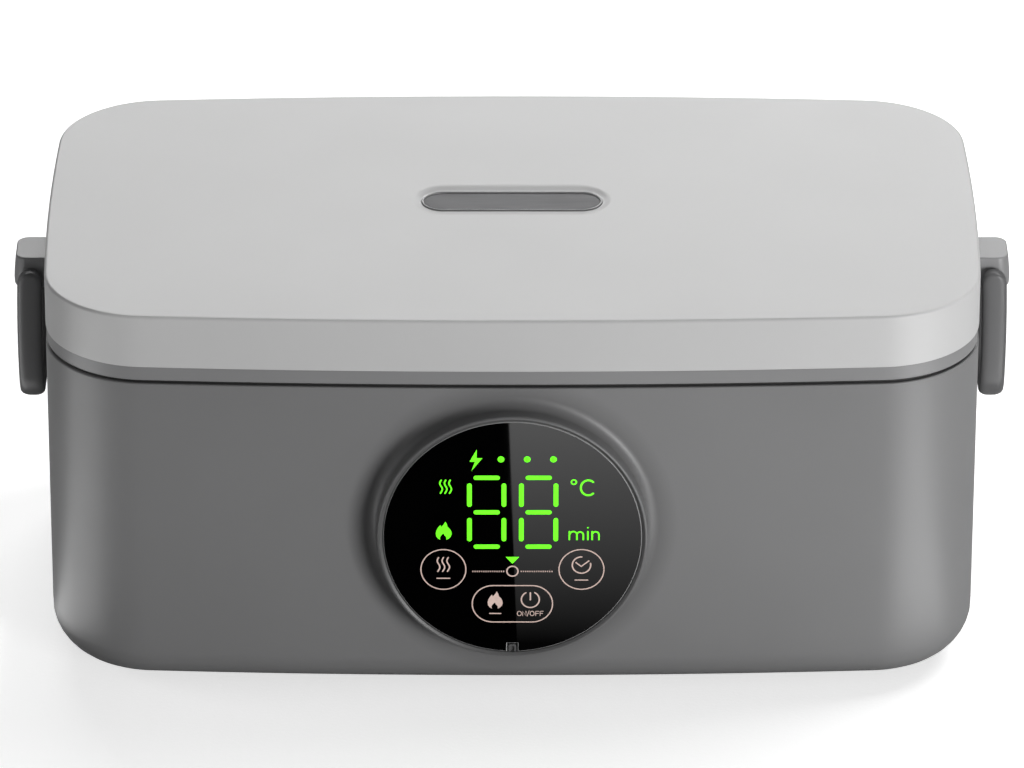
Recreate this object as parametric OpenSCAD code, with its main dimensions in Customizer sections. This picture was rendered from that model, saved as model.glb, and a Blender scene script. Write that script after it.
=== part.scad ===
// Electric lunch box: a heated base with a round display on its front, a lift-off lid held by a
// loop latch at each end, and a steel food container with a lid of its own.
// Millimetres, +Z up, display towards -Y, feet on Z = 0.

/* [Outline] */
// Width of the body and lid, end to end
outline_w = 236; // [232:1:244]
// Depth of the body and lid, front to back
outline_d = 134.6; // [132:0.2:142]
// Radius of the shallow front and back arcs
long_arc_r = 1650; // [1300:10:2400]
// Radius of the shallow end arcs
end_arc_r = 966; // [700:2:1400]
// Radius of the outline's corners
corner_r = 26.6; // [25:0.2:30]

/* [Outer shell] */
// Height of the outer shell
body_h = 86; // [84:0.5:94]
// Wall of the outer shell
wall = 2.4; // [2:0.1:2.8]
// Radius of the shell's bottom edge
bottom_r = 12; // [9:0.5:13]
// Chamfer of the shell's top edge
top_chamfer = 0.4; // [0.2:0.1:0.8]
// Width of the shell's bottom flange, from the outline to the base cover's opening
flange_w = 16; // [15:0.5:18]
// Thickness of the base cover
cover_t = 2.4; // [2:0.1:3]
// Gap around a cover that drops into an opening
cover_gap = 0.25; // [0.15:0.05:0.4]

/* [Feet and base screws] */
// Height of the rubber feet below the shell
foot_h = 2; // [1.5:0.25:3]
// Diameter of a foot
foot_d = 16; // [12:0.5:18]
// Depth of the foot's recess in the base cover
foot_seat = 1; // [0.5:0.1:1.2]
// Distance from a corner's centre to its foot, along the width
foot_inset = 22; // [20:0.5:30]
// Shank diameter of the housing screws
screw_d = 3; // [2.5:0.1:3.5]
// Head diameter of the housing screws
screw_head_d = 5.6; // [5:0.1:6]
// Head height of the housing screws
screw_head_h = 1.4; // [1.2:0.1:1.6]
// Length of the housing screws under the head
screw_l = 9; // [8:0.5:12]
// Radial clearance of a screw in its hole
screw_gap = 0.05; // [0.03:0.01:0.1]
// Diameter of a screw post
post_d = 8; // [7:0.25:9]
// Height of the shell's screw posts above the base cover
post_h = 15; // [13:0.5:18]

/* [Display] */
// Height of the display's centre above the shell's underside
display_h = 47.4; // [46:0.2:50]
// Diameter of the display glass
glass_d = 64.8; // [60:0.2:66]
// Thickness of the display glass
glass_t = 1.6; // [1.2:0.1:2]
// How far the glass lies below the rim's face
glass_sink = 0.4; // [0.2:0.1:0.6]
// Width of the rim around the glass
rim_w = 1.4; // [1:0.1:2]
// Radial gap around the glass
glass_gap = 0.1; // [0.05:0.05:0.2]
// How far the round boss stands out of the front
boss_h = 6.5; // [6:0.1:8]
// Radius of the hollow fillet at the boss's root
boss_fillet = 3; // [2:0.1:3.5]
// Wall of the boss behind its rim
boss_wall = 2.2; // [1.8:0.1:2.6]
// Thickness of the ledge that the glass sits on
ledge_t = 1.4; // [1:0.1:1.8]
// Width of the key at the bottom of the rim
key_w = 2.3; // [1.5:0.1:3]
// Height of the key at the bottom of the rim
key_h = 2.1; // [1.5:0.1:3]
// Thickness of the printed circuit boards
board_t = 1.6; // [1.2:0.1:2]
// Height of the digit module on its board
module_t = 4.4; // [4:0.1:4.8]
// Width of the digit module
module_w = 30; // [26:0.5:32]
// Height of the digit module's face
module_h = 24; // [20:0.5:26]
// Shank diameter of the small board screws
small_screw_d = 2.2; // [2:0.1:2.6]

/* [Heating tub] */
// Distance from the outline to the tub's outer wall
tub_inset = 7; // [6.6:0.1:7.6]
// Sheet thickness of the tub
tub_t = 1; // [0.8:0.1:1.4]
// Radius of the tub's bottom edge
tub_r = 8; // [6:0.5:10]
// Thickness of the tub's flange
tub_flange_t = 0.8; // [0.6:0.1:1]
// Distance from the outline to the edge of the tub's flange
tub_flange_inset = 4.6; // [4.4:0.1:5]
// Height of the collar that carries the tub
collar_t = 3.4; // [3:0.1:4.5]
// Height of the electronics bay, base cover to heat shield
bay_h = 21; // [20:0.5:24]

/* [Heater] */
// Distance from the outline's ends to the heater plate
heater_end_gap = 28; // [26:1:38]
// Distance from the outline's front and back to the heater plate
heater_side_gap = 25.3; // [24.3:0.1:29.3]
// Thickness of the heater plate
heater_t = 3; // [2:0.1:4]
// Thickness of the heating film and of its clamp
film_t = 1; // [0.6:0.1:1.2]
// Clear height between the heat shield and the film's clamp
shield_gap = 3; // [2.8:0.1:4]
// Sheet thickness of the heat shield
shield_t = 0.6; // [0.5:0.1:0.8]
// Margin of the heat shield around the heater plate
shield_margin = 7; // [5:0.5:8]
// Diameter of the thermostat
thermostat_d = 15.6; // [14:0.2:17]
// Height of the thermostat's case
thermostat_h = 9.5; // [8:0.5:11]
// Diameter of the temperature sensor
sensor_d = 6; // [5:0.2:7]

/* [Power board and inlet] */
// Width of the power board
board_w = 112; // [108:1:116]
// Depth of the power board
board_d = 62; // [60:1:64]
// Height of the power board's posts
board_post_h = 5; // [4:0.5:7]
// Centre of the inlet above the shell's underside
inlet_h = 20; // [19:0.5:21]
// Width of the inlet's face
inlet_w = 22; // [21:0.5:24]
// Height of the inlet's face
inlet_face_h = 12; // [11.6:0.2:13]
// Width of the socket in the inlet
socket_w = 14.8; // [14.4:0.1:15.6]
// Height of the socket in the inlet
socket_h = 8; // [7.6:0.1:8.4]
// Depth of the socket in the inlet
socket_depth = 10.2; // [9.5:0.1:11]
// Diameter of a contact pin
pin_d = 2.4; // [2.3:0.05:2.5]
// Spacing of the contact pins
pin_pitch = 8.6; // [8.4:0.1:8.8]
// Free length of a contact pin
pin_l = 9; // [8:0.1:9.2]

/* [Lid] */
// Height of the lid cover
lid_cover_h = 14; // [13:0.5:18]
// Thickness of the lid cover's top
lid_top_t = 2.4; // [2.2:0.1:3]
// Wall of the lid cover's side
lid_wall = 2.2; // [1.8:0.1:2.6]
// Radius of the lid's top edge
lid_edge_r = 0.8; // [0.5:0.1:2]
// Height of the band of the lid frame that shows
band_h = 3.7; // [3.2:0.1:5]
// How far the band is set back from the cover
band_inset = 0.35; // [0.2:0.05:0.8]
// Width of the frame's ring
ring_w = 11; // [10.5:0.5:13]
// Height of the seal that shows as a dark line
seal_h = 0.8; // [0.6:0.1:1.2]
// How far the seal is set back from the outline
seal_inset = 0.8; // [0.5:0.1:1.4]
// Thickness of the lid liner
liner_t = 1.4; // [1.2:0.1:1.8]
// Width of the lid's plaque
badge_w = 46; // [40:0.5:50]
// Height of the lid's plaque, front to back
badge_d = 11; // [9:0.5:12]
// Depth of the plaque's seat in the lid
badge_seat = 1.4; // [1.1:0.1:1.6]
// How far the plaque sits behind the lid's middle
badge_back = 3.2; // [0:0.2:8]
// Width of the soft dish around the plaque
dish_w = 3; // [1.5:0.25:4]

/* [Latches] */
// Half width of the latch ear on the lid frame
ear_half = 6.9; // [5.5:0.1:7.5]
// How far the ear stands out of the outline
ear_out = 9; // [8:0.1:10]
// How far the ear hangs below the shell's top
ear_drop = 1.7; // [1.2:0.1:3]
// Height of the ear
ear_h = 8.3; // [7.8:0.1:9.5]
// Height of the latch's pivot above the ear's lowest point
pivot_up = 2.8; // [2.7:0.1:3.4]
// Width of the latch's flat bar
bar_w = 6.4; // [5.6:0.1:7]
// Thickness of the latch's flat bar
bar_t = 4; // [3.4:0.1:4.6]
// How far the latch bows outwards halfway down
bar_bow = 0.3; // [0:0.05:0.4]
// Gap from the outline to the latch bar
bar_gap = 1.6; // [1.5:0.1:1.8]
// Length of the latch, pivot to crossbar
latch_l = 32.2; // [28:0.2:35]
// Side gap between the ear and the latch bar
ear_gap = 0.3; // [0.2:0.05:0.5]
// Diameter of the latch pin
latch_pin_d = 2.5; // [2:0.1:3]
// Running clearance of the latch on its pin
pin_gap = 0.06; // [0.03:0.01:0.09]
// How far the catch rib stands out of the shell's end
catch_out = 1.2; // [0.6:0.1:1.2]

/* [Food container] */
// Sheet thickness of the food container
pan_t = 0.6; // [0.5:0.1:1]
// Gap between the tub's wall and the container's wall
pan_gap = 4; // [3.8:0.1:4.4]
// Depth of the container's rim below the shell's rim
pan_drop = 4; // [3.5:0.5:8]
// Radius of the container's bottom edge
pan_r = 8; // [7:0.5:12]
// How far the container's rolled rim stands out
bead_out = 0.7; // [0.4:0.1:0.9]
// Thickness of the container lid's plate
pan_lid_t = 1.6; // [1.2:0.1:1.8]
// Depth of the container lid's plug
plug_h = 4.5; // [4:0.25:6]
// Diameter of the vent plug's cap
vent_d = 16; // [12:0.5:20]

/* [Hidden] */
$fn = 48;

// The bounding box is centred on X = Y = 0, so the outline sits behind the middle by half the boss
mid_y = boss_h / 2;

// Centres of the arcs: the front and back arcs on the Y axis, the end arcs on the X axis
long_arc_c = outline_d / 2 - long_arc_r;
end_arc_c = outline_w / 2 - end_arc_r;
// The corner circle touches both arcs: its centre is where two circles about their centres cross
arc_gap = norm([end_arc_c, long_arc_c]);
arc_dir = [end_arc_c, -long_arc_c] / arc_gap;
long_reach = long_arc_r - corner_r;
end_reach = end_arc_r - corner_r;
along = (long_reach * long_reach - end_reach * end_reach + arc_gap * arc_gap) / (2 * arc_gap);
across = sqrt(long_reach * long_reach - along * along);
corner_c = [0, long_arc_c] + along * arc_dir + across * [arc_dir.y, -arc_dir.x];
long_end_a = atan2(corner_c.y - long_arc_c, corner_c.x);
end_end_a = atan2(corner_c.y, corner_c.x - end_arc_c);

// Heights of the stack, from the floor up
body_z = foot_h;
rim_z = body_z + body_h;
bay_z = body_z + cover_t;
board_z = bay_z + board_post_h;
shield_z = bay_z + bay_h;
clamp_z = shield_z + shield_t + shield_gap;
film_z = clamp_z + film_t;
heater_z = film_z + film_t;
tub_z = heater_z + heater_t;
pan_z = tub_z + tub_t;
pan_rim_z = rim_z - pan_drop;
display_z = body_z + display_h;
inlet_z = body_z + inlet_h;

// Heights of the lid
frame_z = rim_z + seal_h;
cover_z = frame_z + band_h;
lid_top_z = cover_z + lid_cover_h;
ring_z = frame_z + liner_t;

// Radii of the display
glass_r = glass_d / 2;
rim_r = glass_r + rim_w;
bore_r = rim_r - boss_wall;
glass_top = boss_h - glass_sink;
glass_z = glass_top - glass_t;
ledge_z = glass_z - ledge_t;
module_gap = 0.3;
display_board_z = glass_z - module_gap - module_t - board_t;
display_board_r = bore_r - 0.6;
display_post_r = 2.4;
display_post_c = display_board_r - display_post_r;
small_head_r = small_screw_d * 0.9;
small_head_h = 1.2;

// Heater plate inside the outline
heater_w = outline_w - 2 * heater_end_gap;
heater_d = outline_d - 2 * heater_side_gap;

// Latch geometry
pivot_x = outline_w / 2 + bar_gap + bar_w / 2;
ear_z = rim_z - ear_drop;
pivot_z = ear_z + pivot_up;
limb_y = ear_half + ear_gap + bar_t / 2;
bend_r = 6;
crossbar_z = pivot_z - latch_l;
latch_pin_half = limb_y + bar_t / 2 - 0.8;

// Insets of the container, from the outline inwards
tub_in = tub_inset + tub_t;
pan_inset = tub_in + pan_gap;
pan_in = pan_inset + pan_t;
plug_inset = pan_in + 1;
plug_t = 1.4;
seal_groove = 0.8;

function arc_point(c, r, a) = c + r * [cos(a), sin(a)];

// First quadrant of the outline drawn in by inset, from the end's middle to the front's middle
function quadrant(inset, ends = 2, corner = 8, front = 4) = concat(
    [for (i = [0:ends]) arc_point([end_arc_c, 0], end_arc_r - inset, end_end_a * i / ends)],
    [for (i = [1:corner - 1]) arc_point(corner_c, corner_r - inset,
        end_end_a + (long_end_a - end_end_a) * i / corner)],
    [for (i = [0:front]) arc_point([0, long_arc_c], long_arc_r - inset,
        long_end_a + (90 - long_end_a) * i / front)]
);

// The whole outline, counterclockwise
function outline(inset = 0) = let (q = quadrant(inset), n = len(q)) concat(
    q,
    [for (i = [n - 2:-1:0]) [-q[i].x, q[i].y]],
    [for (i = [1:n - 1]) [-q[i].x, -q[i].y]],
    [for (i = [n - 2:-1:1]) [q[i].x, -q[i].y]]
);

// Rings [inset, z] of a bottom edge of radius r that ends in a wall at the given inset
function bottom_edge(r, inset, z, steps = 5) = [
    for (i = [0:steps]) let (t = 90 * i / steps) [inset + r * (1 - sin(t)), z + r * (1 - cos(t))]
];

// Closed solid through a stack of outlines, each given as [inset, z]
module loft(rings) {
    m = len(outline());
    top = (len(rings) - 1) * m;
    polyhedron(
        points = [for (r = rings) for (p = outline(r[0])) [p.x, p.y, r[1]]],
        faces = concat(
            [[for (i = [0:m - 1]) i]],
            [for (k = [0:m:top - m]) for (i = [0:m - 1])
                [k + i, k + m + i, k + m + (i + 1) % m, k + (i + 1) % m]],
            [[for (i = [m - 1:-1:0]) top + i]]
        ),
        convexity = 6
    );
}

// Upright block of the outline's shape, drawn in by inset
module block(inset, z0, z1) {
    translate([0, 0, z0]) linear_extrude(z1 - z0) polygon(outline(inset));
}

// Upright ring between two insets
module ring(inset0, inset1, z0, z1) {
    translate([0, 0, z0]) linear_extrude(z1 - z0) difference() {
        polygon(outline(inset0));
        polygon(outline(inset1));
    }
}

// Flat rounded rectangle about the origin
module rounded(w, d, r) {
    square([w - 2 * r, d], center = true);
    square([w, d - 2 * r], center = true);
    for (x = [-1, 1], y = [-1, 1]) translate([x * (w / 2 - r), y * (d / 2 - r)]) circle(r);
}

module plate(w, d, r, z0, z1) {
    translate([0, 0, z0]) linear_extrude(z1 - z0) rounded(w, d, r);
}

// Flat pill shape, long along X
module pill(w, d) {
    square([w - d, d], center = true);
    for (x = [-1, 1]) translate([x * (w - d) / 2, 0]) circle(d / 2);
}

module in_place() {
    translate([0, mid_y, 0]) children();
}

// Frame of the display: local +Z out of the front face, local +Y up
module at_display() {
    translate([0, mid_y - outline_d / 2, display_z]) rotate([90, 0, 0]) children();
}

// Frame of the inlet: local +Z out of the back face
module at_inlet() {
    translate([0, mid_y + outline_d / 2, inlet_z]) rotate([-90, 0, 0]) children();
}

module at_corners(c) {
    for (x = [-1, 1], y = [-1, 1]) translate([x * c.x, y * c.y, 0]) children();
}

// Screw pointing up, its head's underside at Z = 0
module screw(d, head_d, head_h, l) {
    rotate_extrude() polygon([
        [0, -head_h], [head_d / 2 - 0.4, -head_h], [head_d / 2, -head_h + 0.4],
        [head_d / 2, 0], [d / 2, 0], [d / 2, l - d / 3], [d / 6, l], [0, l]
    ]);
}

// Outer shell

// Round boss on the front: rim, wall and hollow root fillet, turned about the display's axis
module display_boss() {
    root = -0.6;
    steps = 6;
    fillet = [for (i = [0:steps]) let (t = 90 * i / steps)
        [rim_r + boss_fillet * (1 - cos(t)), root + boss_fillet * (1 - sin(t))]];
    rotate_extrude($fn = 96) polygon(concat(
        [[0, -wall], [rim_r + boss_fillet, -wall + 0.2]],
        [for (i = [steps:-1:0]) fillet[i]],
        [[rim_r, boss_h - 0.4], [rim_r - 0.4, boss_h], [0, boss_h]]
    ));
}

module display_cavity() {
    translate([0, 0, glass_z]) cylinder(r = glass_r + glass_gap, h = glass_t + 1, $fn = 96);
    translate([0, 0, glass_top])
        cylinder(r1 = glass_r + glass_gap, r2 = rim_r - 0.45, h = glass_sink + 0.1, $fn = 96);
    translate([0, 0, ledge_z - 1]) cylinder(r = glass_r - 1.8, h = ledge_t + 2, $fn = 96);
    translate([0, 0, -wall - 1]) cylinder(r = bore_r, h = ledge_z + wall + 1, $fn = 96);
}

module display_posts() {
    for (a = [45:90:315]) rotate(a) translate([display_post_c, 0, 0]) difference() {
        translate([0, 0, display_board_z + board_t])
            cylinder(r = display_post_r, h = ledge_z - display_board_z - board_t + ledge_t / 2);
        translate([0, 0, display_board_z]) cylinder(r = small_screw_d / 2 + screw_gap, h = board_t + 3.4);
    }
}

// Post for a base screw, tied to the shell's corner by a rib
module base_post(x, y) {
    rib = corner_r - wall + 0.6;
    translate([x * corner_c.x, y * corner_c.y, bay_z]) {
        cylinder(d = post_d, h = post_h);
        translate([0, 0, post_h / 2]) rotate(atan2(y, x)) translate([0, -1, 0])
            cube([rib, 2, post_h / 2]);
    }
}

// Low rib on the shell's end that the latch's crossbar rests under
module catch_rib(side) {
    foot = outline_w / 2 - wall / 2;
    tip = outline_w / 2 + catch_out;
    half = limb_y - bend_r + 1.6;
    z0 = crossbar_z + bar_t / 2 + 0.6;
    translate([0, half, z0]) rotate([90, 0, 0]) linear_extrude(2 * half)
        polygon([for (p = [[foot, 0], [tip, 0.4], [tip, 1.2], [outline_w / 2 - 0.2, 3.6], [foot, 3.6]])
            [side * p.x, p.y]]);
}

module outer_shell() color("#5c5c5e") {
    difference() {
        union() {
            in_place() {
                difference() {
                    loft(concat(bottom_edge(bottom_r, 0, body_z),
                        [[0, rim_z - top_chamfer], [top_chamfer, rim_z]]));
                    loft(concat(bottom_edge(bottom_r - wall, wall, bay_z), [[wall, rim_z + 1]]));
                }
                ring(wall / 2, wall + 1.4, rim_z - collar_t - 2, rim_z - collar_t);
                for (side = [-1, 1]) catch_rib(side);
            }
            at_display() display_boss();
        }
        in_place() block(flange_w, body_z - 1, bay_z + 0.5);
        at_display() display_cavity();
        at_inlet() translate([0, 0, -wall - 2])
            linear_extrude(wall + 4) rounded(inlet_w + 0.4, inlet_face_h + 0.4, 1.2);
    }
    in_place() difference() {
        for (x = [-1, 1], y = [-1, 1]) base_post(x, y);
        at_corners(corner_c) translate([0, 0, bay_z - 1])
            cylinder(r = screw_d / 2 + screw_gap, h = screw_l + 1.5);
    }
    at_display() {
        display_posts();
        translate([-key_w / 2, -glass_r - glass_gap - 0.5, ledge_z + ledge_t / 2])
            cube([key_w, key_h + 0.5, glass_t - 0.3 + ledge_t / 2]);
    }
}

module base_cover() color("#4a4a4c") in_place() difference() {
    union() {
        block(flange_w + cover_gap, body_z, bay_z);
        board_posts() cylinder(d = 6, h = board_post_h);
        ring(flange_w + 3, flange_w + 4.6, bay_z, bay_z + 1.6);
    }
    at_corners(corner_c) translate([0, 0, body_z - 1]) {
        cylinder(r = screw_d / 2 + screw_gap, h = cover_t + 4);
        cylinder(d = screw_head_d + 0.6, h = 1 + screw_head_h);
    }
    at_corners(corner_c) translate([0, 0, bay_z]) cylinder(d = post_d + 0.6, h = 4);
    at_corners(foot_c) translate([0, 0, body_z - 1]) cylinder(d = foot_d + 0.2, h = 1 + foot_seat);
    board_posts() translate([0, 0, -1]) cylinder(r = small_screw_d / 2 + screw_gap, h = board_post_h + 2);
}

foot_c = [corner_c.x - foot_inset, corner_c.y - 2];

module feet() color("#262626") in_place() at_corners(foot_c) rotate_extrude() polygon([
    [0, 0.3], [foot_d / 2 - 3, 0.3], [foot_d / 2 - 3.3, 0], [foot_d / 2 - 0.6, 0],
    [foot_d / 2, 0.6], [foot_d / 2, body_z + foot_seat], [0, body_z + foot_seat]
]);

module base_screws() color("#b8b8bc") in_place() at_corners(corner_c)
    translate([0, 0, body_z + screw_head_h]) screw(screw_d, screw_head_d, screw_head_h, screw_l);

// Plastic ring on the shell's inner ledge; the tub's flange lies in its rebate
module top_collar() color("#d8d8d6") in_place() difference() {
    block(wall + cover_gap, rim_z - collar_t, rim_z);
    block(tub_inset - cover_gap, rim_z - collar_t - 1, rim_z + 1);
    block(tub_flange_inset - 0.2, rim_z - tub_flange_t, rim_z + 1);
}

// Display

module display_glass() color("#08090a") at_display() difference() {
    rotate_extrude($fn = 96) polygon([
        [0, glass_z], [glass_r, glass_z], [glass_r, glass_top - 0.2], [glass_r - 0.2, glass_top], [0, glass_top]
    ]);
    translate([-key_w / 2 - 0.1, -glass_r - 1, glass_z - 1])
        cube([key_w + 0.2, key_h + 1.3 - glass_gap, glass_t + 2]);
}

module display_board() color("#1f5a34") at_display() translate([0, 0, display_board_z]) difference() {
    cylinder(r = display_board_r, h = board_t, $fn = 96);
    for (a = [45:90:315]) rotate(a) translate([display_post_c, 0, -1])
        cylinder(r = small_screw_d / 2 + screw_gap, h = board_t + 2);
}

module display_screws() color("#b8b8bc") at_display()
    for (a = [45:90:315]) rotate(a) translate([display_post_c, 0, display_board_z])
        screw(small_screw_d, small_head_r * 2, small_head_h, board_t + 3);

// Block of lit segments between the board and the glass
module digit_module() color("#e8e8e6") at_display()
    translate([0, module_lift, display_board_z + board_t]) plate(module_w, module_h, 1.5, 0, module_t);

module_lift = 7;

// Sprung contacts that carry the touch keys from the board to the glass
module touch_springs() color("#c8c8cc") at_display()
    for (p = key_places) translate([p.x, p.y, display_board_z + board_t]) difference() {
        cylinder(d = 6, h = module_t + module_gap);
        translate([0, 0, -1]) cylinder(d = 4.8, h = module_t + module_gap + 2);
    }

key_places = [[-18.2, -9.2], [18.2, -9.2], [-5, -18.5], [5, -18.5]];

// Heating tub and heater

module heating_tub() color("#b9bbbd") in_place() difference() {
    union() {
        loft(concat(bottom_edge(tub_r, tub_inset, tub_z), [[tub_inset, rim_z]]));
        block(tub_flange_inset, rim_z - tub_flange_t, rim_z);
    }
    loft(concat(bottom_edge(tub_r - tub_t, tub_in, pan_z), [[tub_in, rim_z + 1]]));
}

heater_hole_c = [heater_w / 2 - 10, heater_d / 2 - 10];
thermostat_c = [50, -20];
sensor_c = [46, 22];
fuse_c = [-30, 0];

module heater_stack(z0, z1, hole_d) {
    difference() {
        plate(heater_w, heater_d, 10, z0, z1);
        translate([0, 0, z0 - 1]) {
            at_corners(heater_hole_c) cylinder(d = hole_d, h = z1 - z0 + 2);
            translate(sensor_c) cylinder(d = sensor_d + 0.2, h = z1 - z0 + 2);
        }
    }
}

module heater_plate() color("#c4c6c8") in_place() difference() {
    plate(heater_w, heater_d, 10, heater_z, tub_z);
    at_corners(heater_hole_c) translate([0, 0, heater_z - 1])
        cylinder(r = screw_d / 2 + screw_gap, h = heater_t + 0.4);
    translate([sensor_c.x, sensor_c.y, heater_z - 1]) cylinder(d = sensor_d + 0.2, h = heater_t + 2);
}

module heating_film() color("#9a7b45") in_place()
    heater_stack(film_z, heater_z, screw_d + 0.6);

module film_clamp() color("#8f9194") in_place()
    heater_stack(clamp_z, film_z, screw_d + 0.4);

// Sheet pan that keeps the heat off the electronics; its rim meets the tub's underside
module heat_shield() color("#a9abad") in_place() difference() {
    plate(heater_w + 2 * shield_margin, heater_d + 2 * shield_margin, 12, shield_z, tub_z);
    plate(heater_w + 2 * (shield_margin - shield_t), heater_d + 2 * (shield_margin - shield_t),
        12 - shield_t, shield_z + shield_t, tub_z + 1);
    translate([0, 0, shield_z - 1]) {
        at_corners(heater_hole_c) cylinder(d = screw_d + 0.4, h = shield_t + 2);
        translate(thermostat_c) cylinder(d = thermostat_d + 0.5, h = shield_t + 2);
        translate(sensor_c) cylinder(d = sensor_d + 0.5, h = shield_t + 2);
    }
}

module shield_spacers() color("#c9c9cc") in_place() at_corners(heater_hole_c)
    translate([0, 0, shield_z + shield_t]) difference() {
        cylinder(d = screw_d + 4, h = shield_gap);
        translate([0, 0, -1]) cylinder(d = screw_d + 0.4, h = shield_gap + 2);
    }

heater_screw_l = shield_t + shield_gap + 2 * film_t + heater_t - 1;

module heater_screws() color("#b8b8bc") in_place() at_corners(heater_hole_c)
    translate([0, 0, shield_z]) screw(screw_d, screw_head_d, screw_head_h, heater_screw_l);

// Snap-action thermostat under the clamp, with its two blades
module thermostat() color("#5a4636") in_place() translate([thermostat_c.x, thermostat_c.y, clamp_z]) {
    translate([0, 0, -thermostat_h]) cylinder(d = thermostat_d, h = thermostat_h);
    for (x = [-1, 1]) translate([x * 4.5 - 0.4, -3, -thermostat_h - 5]) cube([0.8, 6, 5.5]);
}

module temperature_sensor() color("#d0d0d2") in_place() translate([sensor_c.x, sensor_c.y, 0])
    translate([0, 0, shield_z - 2]) cylinder(d = sensor_d, h = tub_z - shield_z + 2);

module thermal_fuse() color("#e4dfd2") in_place()
    translate([fuse_c.x - 9, fuse_c.y, clamp_z - 1.5]) rotate([0, 90, 0]) {
        cylinder(d = 2.6, h = 18);
        translate([0, 0, -8]) cylinder(d = 0.9, h = 34);
    }

// Power board, its parts and the inlet

board_c = [-24, 4];
board_hole_c = [board_w / 2 - 5, board_d / 2 - 5];

module board_posts() {
    translate([board_c.x, board_c.y, bay_z]) at_corners(board_hole_c) children();
}

module power_board() color("#2c6b3f") in_place() difference() {
    translate([board_c.x, board_c.y, 0]) plate(board_w, board_d, 2, board_z, board_z + board_t);
    translate([0, 0, board_post_h - 1]) board_posts()
        cylinder(r = small_screw_d / 2 + screw_gap, h = board_t + 2);
}

module board_screws() color("#b8b8bc") in_place() translate([0, 0, board_post_h + board_t])
    board_posts() rotate([180, 0, 0]) screw(small_screw_d, small_head_r * 2, small_head_h, board_t + 4);

module on_board(x, y) {
    translate([board_c.x + x, board_c.y + y, board_z + board_t]) children();
}

module relay() color("#2f6fb0") in_place() on_board(-36, 12) plate(19, 15.5, 0.8, 0, 12);

module transformer() color("#d9b23c") in_place() on_board(-8, 8) {
    plate(20, 16, 0.8, 0, 3);
    plate(16, 17, 2, 3, 10);
    plate(20, 16, 0.8, 10, 12.4);
}

module capacitors() color("#23282e") in_place() {
    on_board(16, 12) cylinder(d = 10, h = 12);
    on_board(16, -2) cylinder(d = 8, h = 11.5);
    on_board(-36, -14) plate(18, 8, 1.5, 0, 12);
}

module wire_terminals() color("#e3e3df") in_place() for (x = [30, 40])
    on_board(x, 14) difference() {
        plate(8, 9, 0.6, 0, 8);
        for (dx = [-2, 2]) translate([dx, 0, 4]) rotate([-90, 0, 0]) cylinder(d = 1.8, h = 8);
    }

// Two-pin inlet in the back: a block through the wall with a flange behind it
module inlet_socket() color("#1d1d1f") at_inlet() difference() {
    union() {
        translate([0, 0, -14]) linear_extrude(13.7) rounded(inlet_w, inlet_face_h, 1);
        translate([0, 0, -wall - 2.2]) linear_extrude(2) rounded(inlet_w + 5, inlet_face_h + 4, 1.5);
    }
    translate([0, 0, -0.3 - socket_depth]) linear_extrude(socket_depth + 1) pill(socket_w, socket_h);
    for (x = [-1, 1]) translate([x * pin_pitch / 2, 0, -15]) cylinder(r = pin_d / 2 - 0.28, h = 10);
}

module inlet_pins() color("#c9cbce") at_inlet() for (x = [-1, 1])
    translate([x * pin_pitch / 2, 0, -0.3 - socket_depth]) rotate_extrude() polygon([
        [0, -7], [pin_d / 2 - 0.3, -7], [pin_d / 2 - 0.3, 0], [pin_d / 2, 0],
        [pin_d / 2, pin_l - 0.5], [pin_d / 2 - 0.5, pin_l], [0, pin_l]
    ]);

// Lid

lid_post_inset = 8;
lid_post_r = 3;
lid_corner_c = corner_c + (corner_r - lid_post_inset) * [cos(45), sin(45)];
lid_screw_l = 8;
lid_head_h = 1.2;

module at_lid_posts() {
    at_corners(lid_corner_c) children();
    for (y = [-1, 1]) translate([0, y * (outline_d / 2 - lid_post_inset), 0]) children();
}

// Soft dish around the plaque: sloping sides round a pill
module badge_dish(w, d, slope, depth) {
    for (x = [-1, 1]) translate([x * (w - d) / 2, 0, 0]) rotate_extrude() polygon([
        [0, -depth], [d / 2, -depth], [d / 2 + slope / 2, -depth * 0.4], [d / 2 + slope, 0.01], [0, 0.01]
    ]);
    translate([-(w - d) / 2, 0, 0]) rotate([90, 0, 90]) linear_extrude(w - d) polygon([
        [-d / 2 - slope, 0.01], [-d / 2 - slope / 2, -depth * 0.4], [-d / 2, -depth],
        [d / 2, -depth], [d / 2 + slope / 2, -depth * 0.4], [d / 2 + slope, 0.01]
    ]);
}

module lid_cover() color("#c9c9ca") in_place() {
    difference() {
        loft(concat(
            [[0, cover_z]],
            [for (i = [0:3]) let (t = 30 * i) [lid_edge_r * (1 - cos(t)),
                lid_top_z - lid_edge_r * (1 - sin(t))]]
        ));
        block(lid_wall, cover_z - 1, lid_top_z - lid_top_t);
        translate([0, badge_back, lid_top_z - badge_seat]) linear_extrude(badge_seat + 1)
            pill(badge_w + 0.2, badge_d + 0.2);
        translate([0, badge_back, lid_top_z]) badge_dish(badge_w + 0.2, badge_d + 0.2, dish_w, 0.6);
    }
    difference() {
        at_lid_posts() translate([0, 0, cover_z]) cylinder(r = lid_post_r, h = lid_cover_h - lid_top_t + 0.5);
        at_lid_posts() translate([0, 0, cover_z - 1])
            cylinder(r = screw_d / 2 + screw_gap, h = lid_screw_l + 0.4);
    }
}

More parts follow.
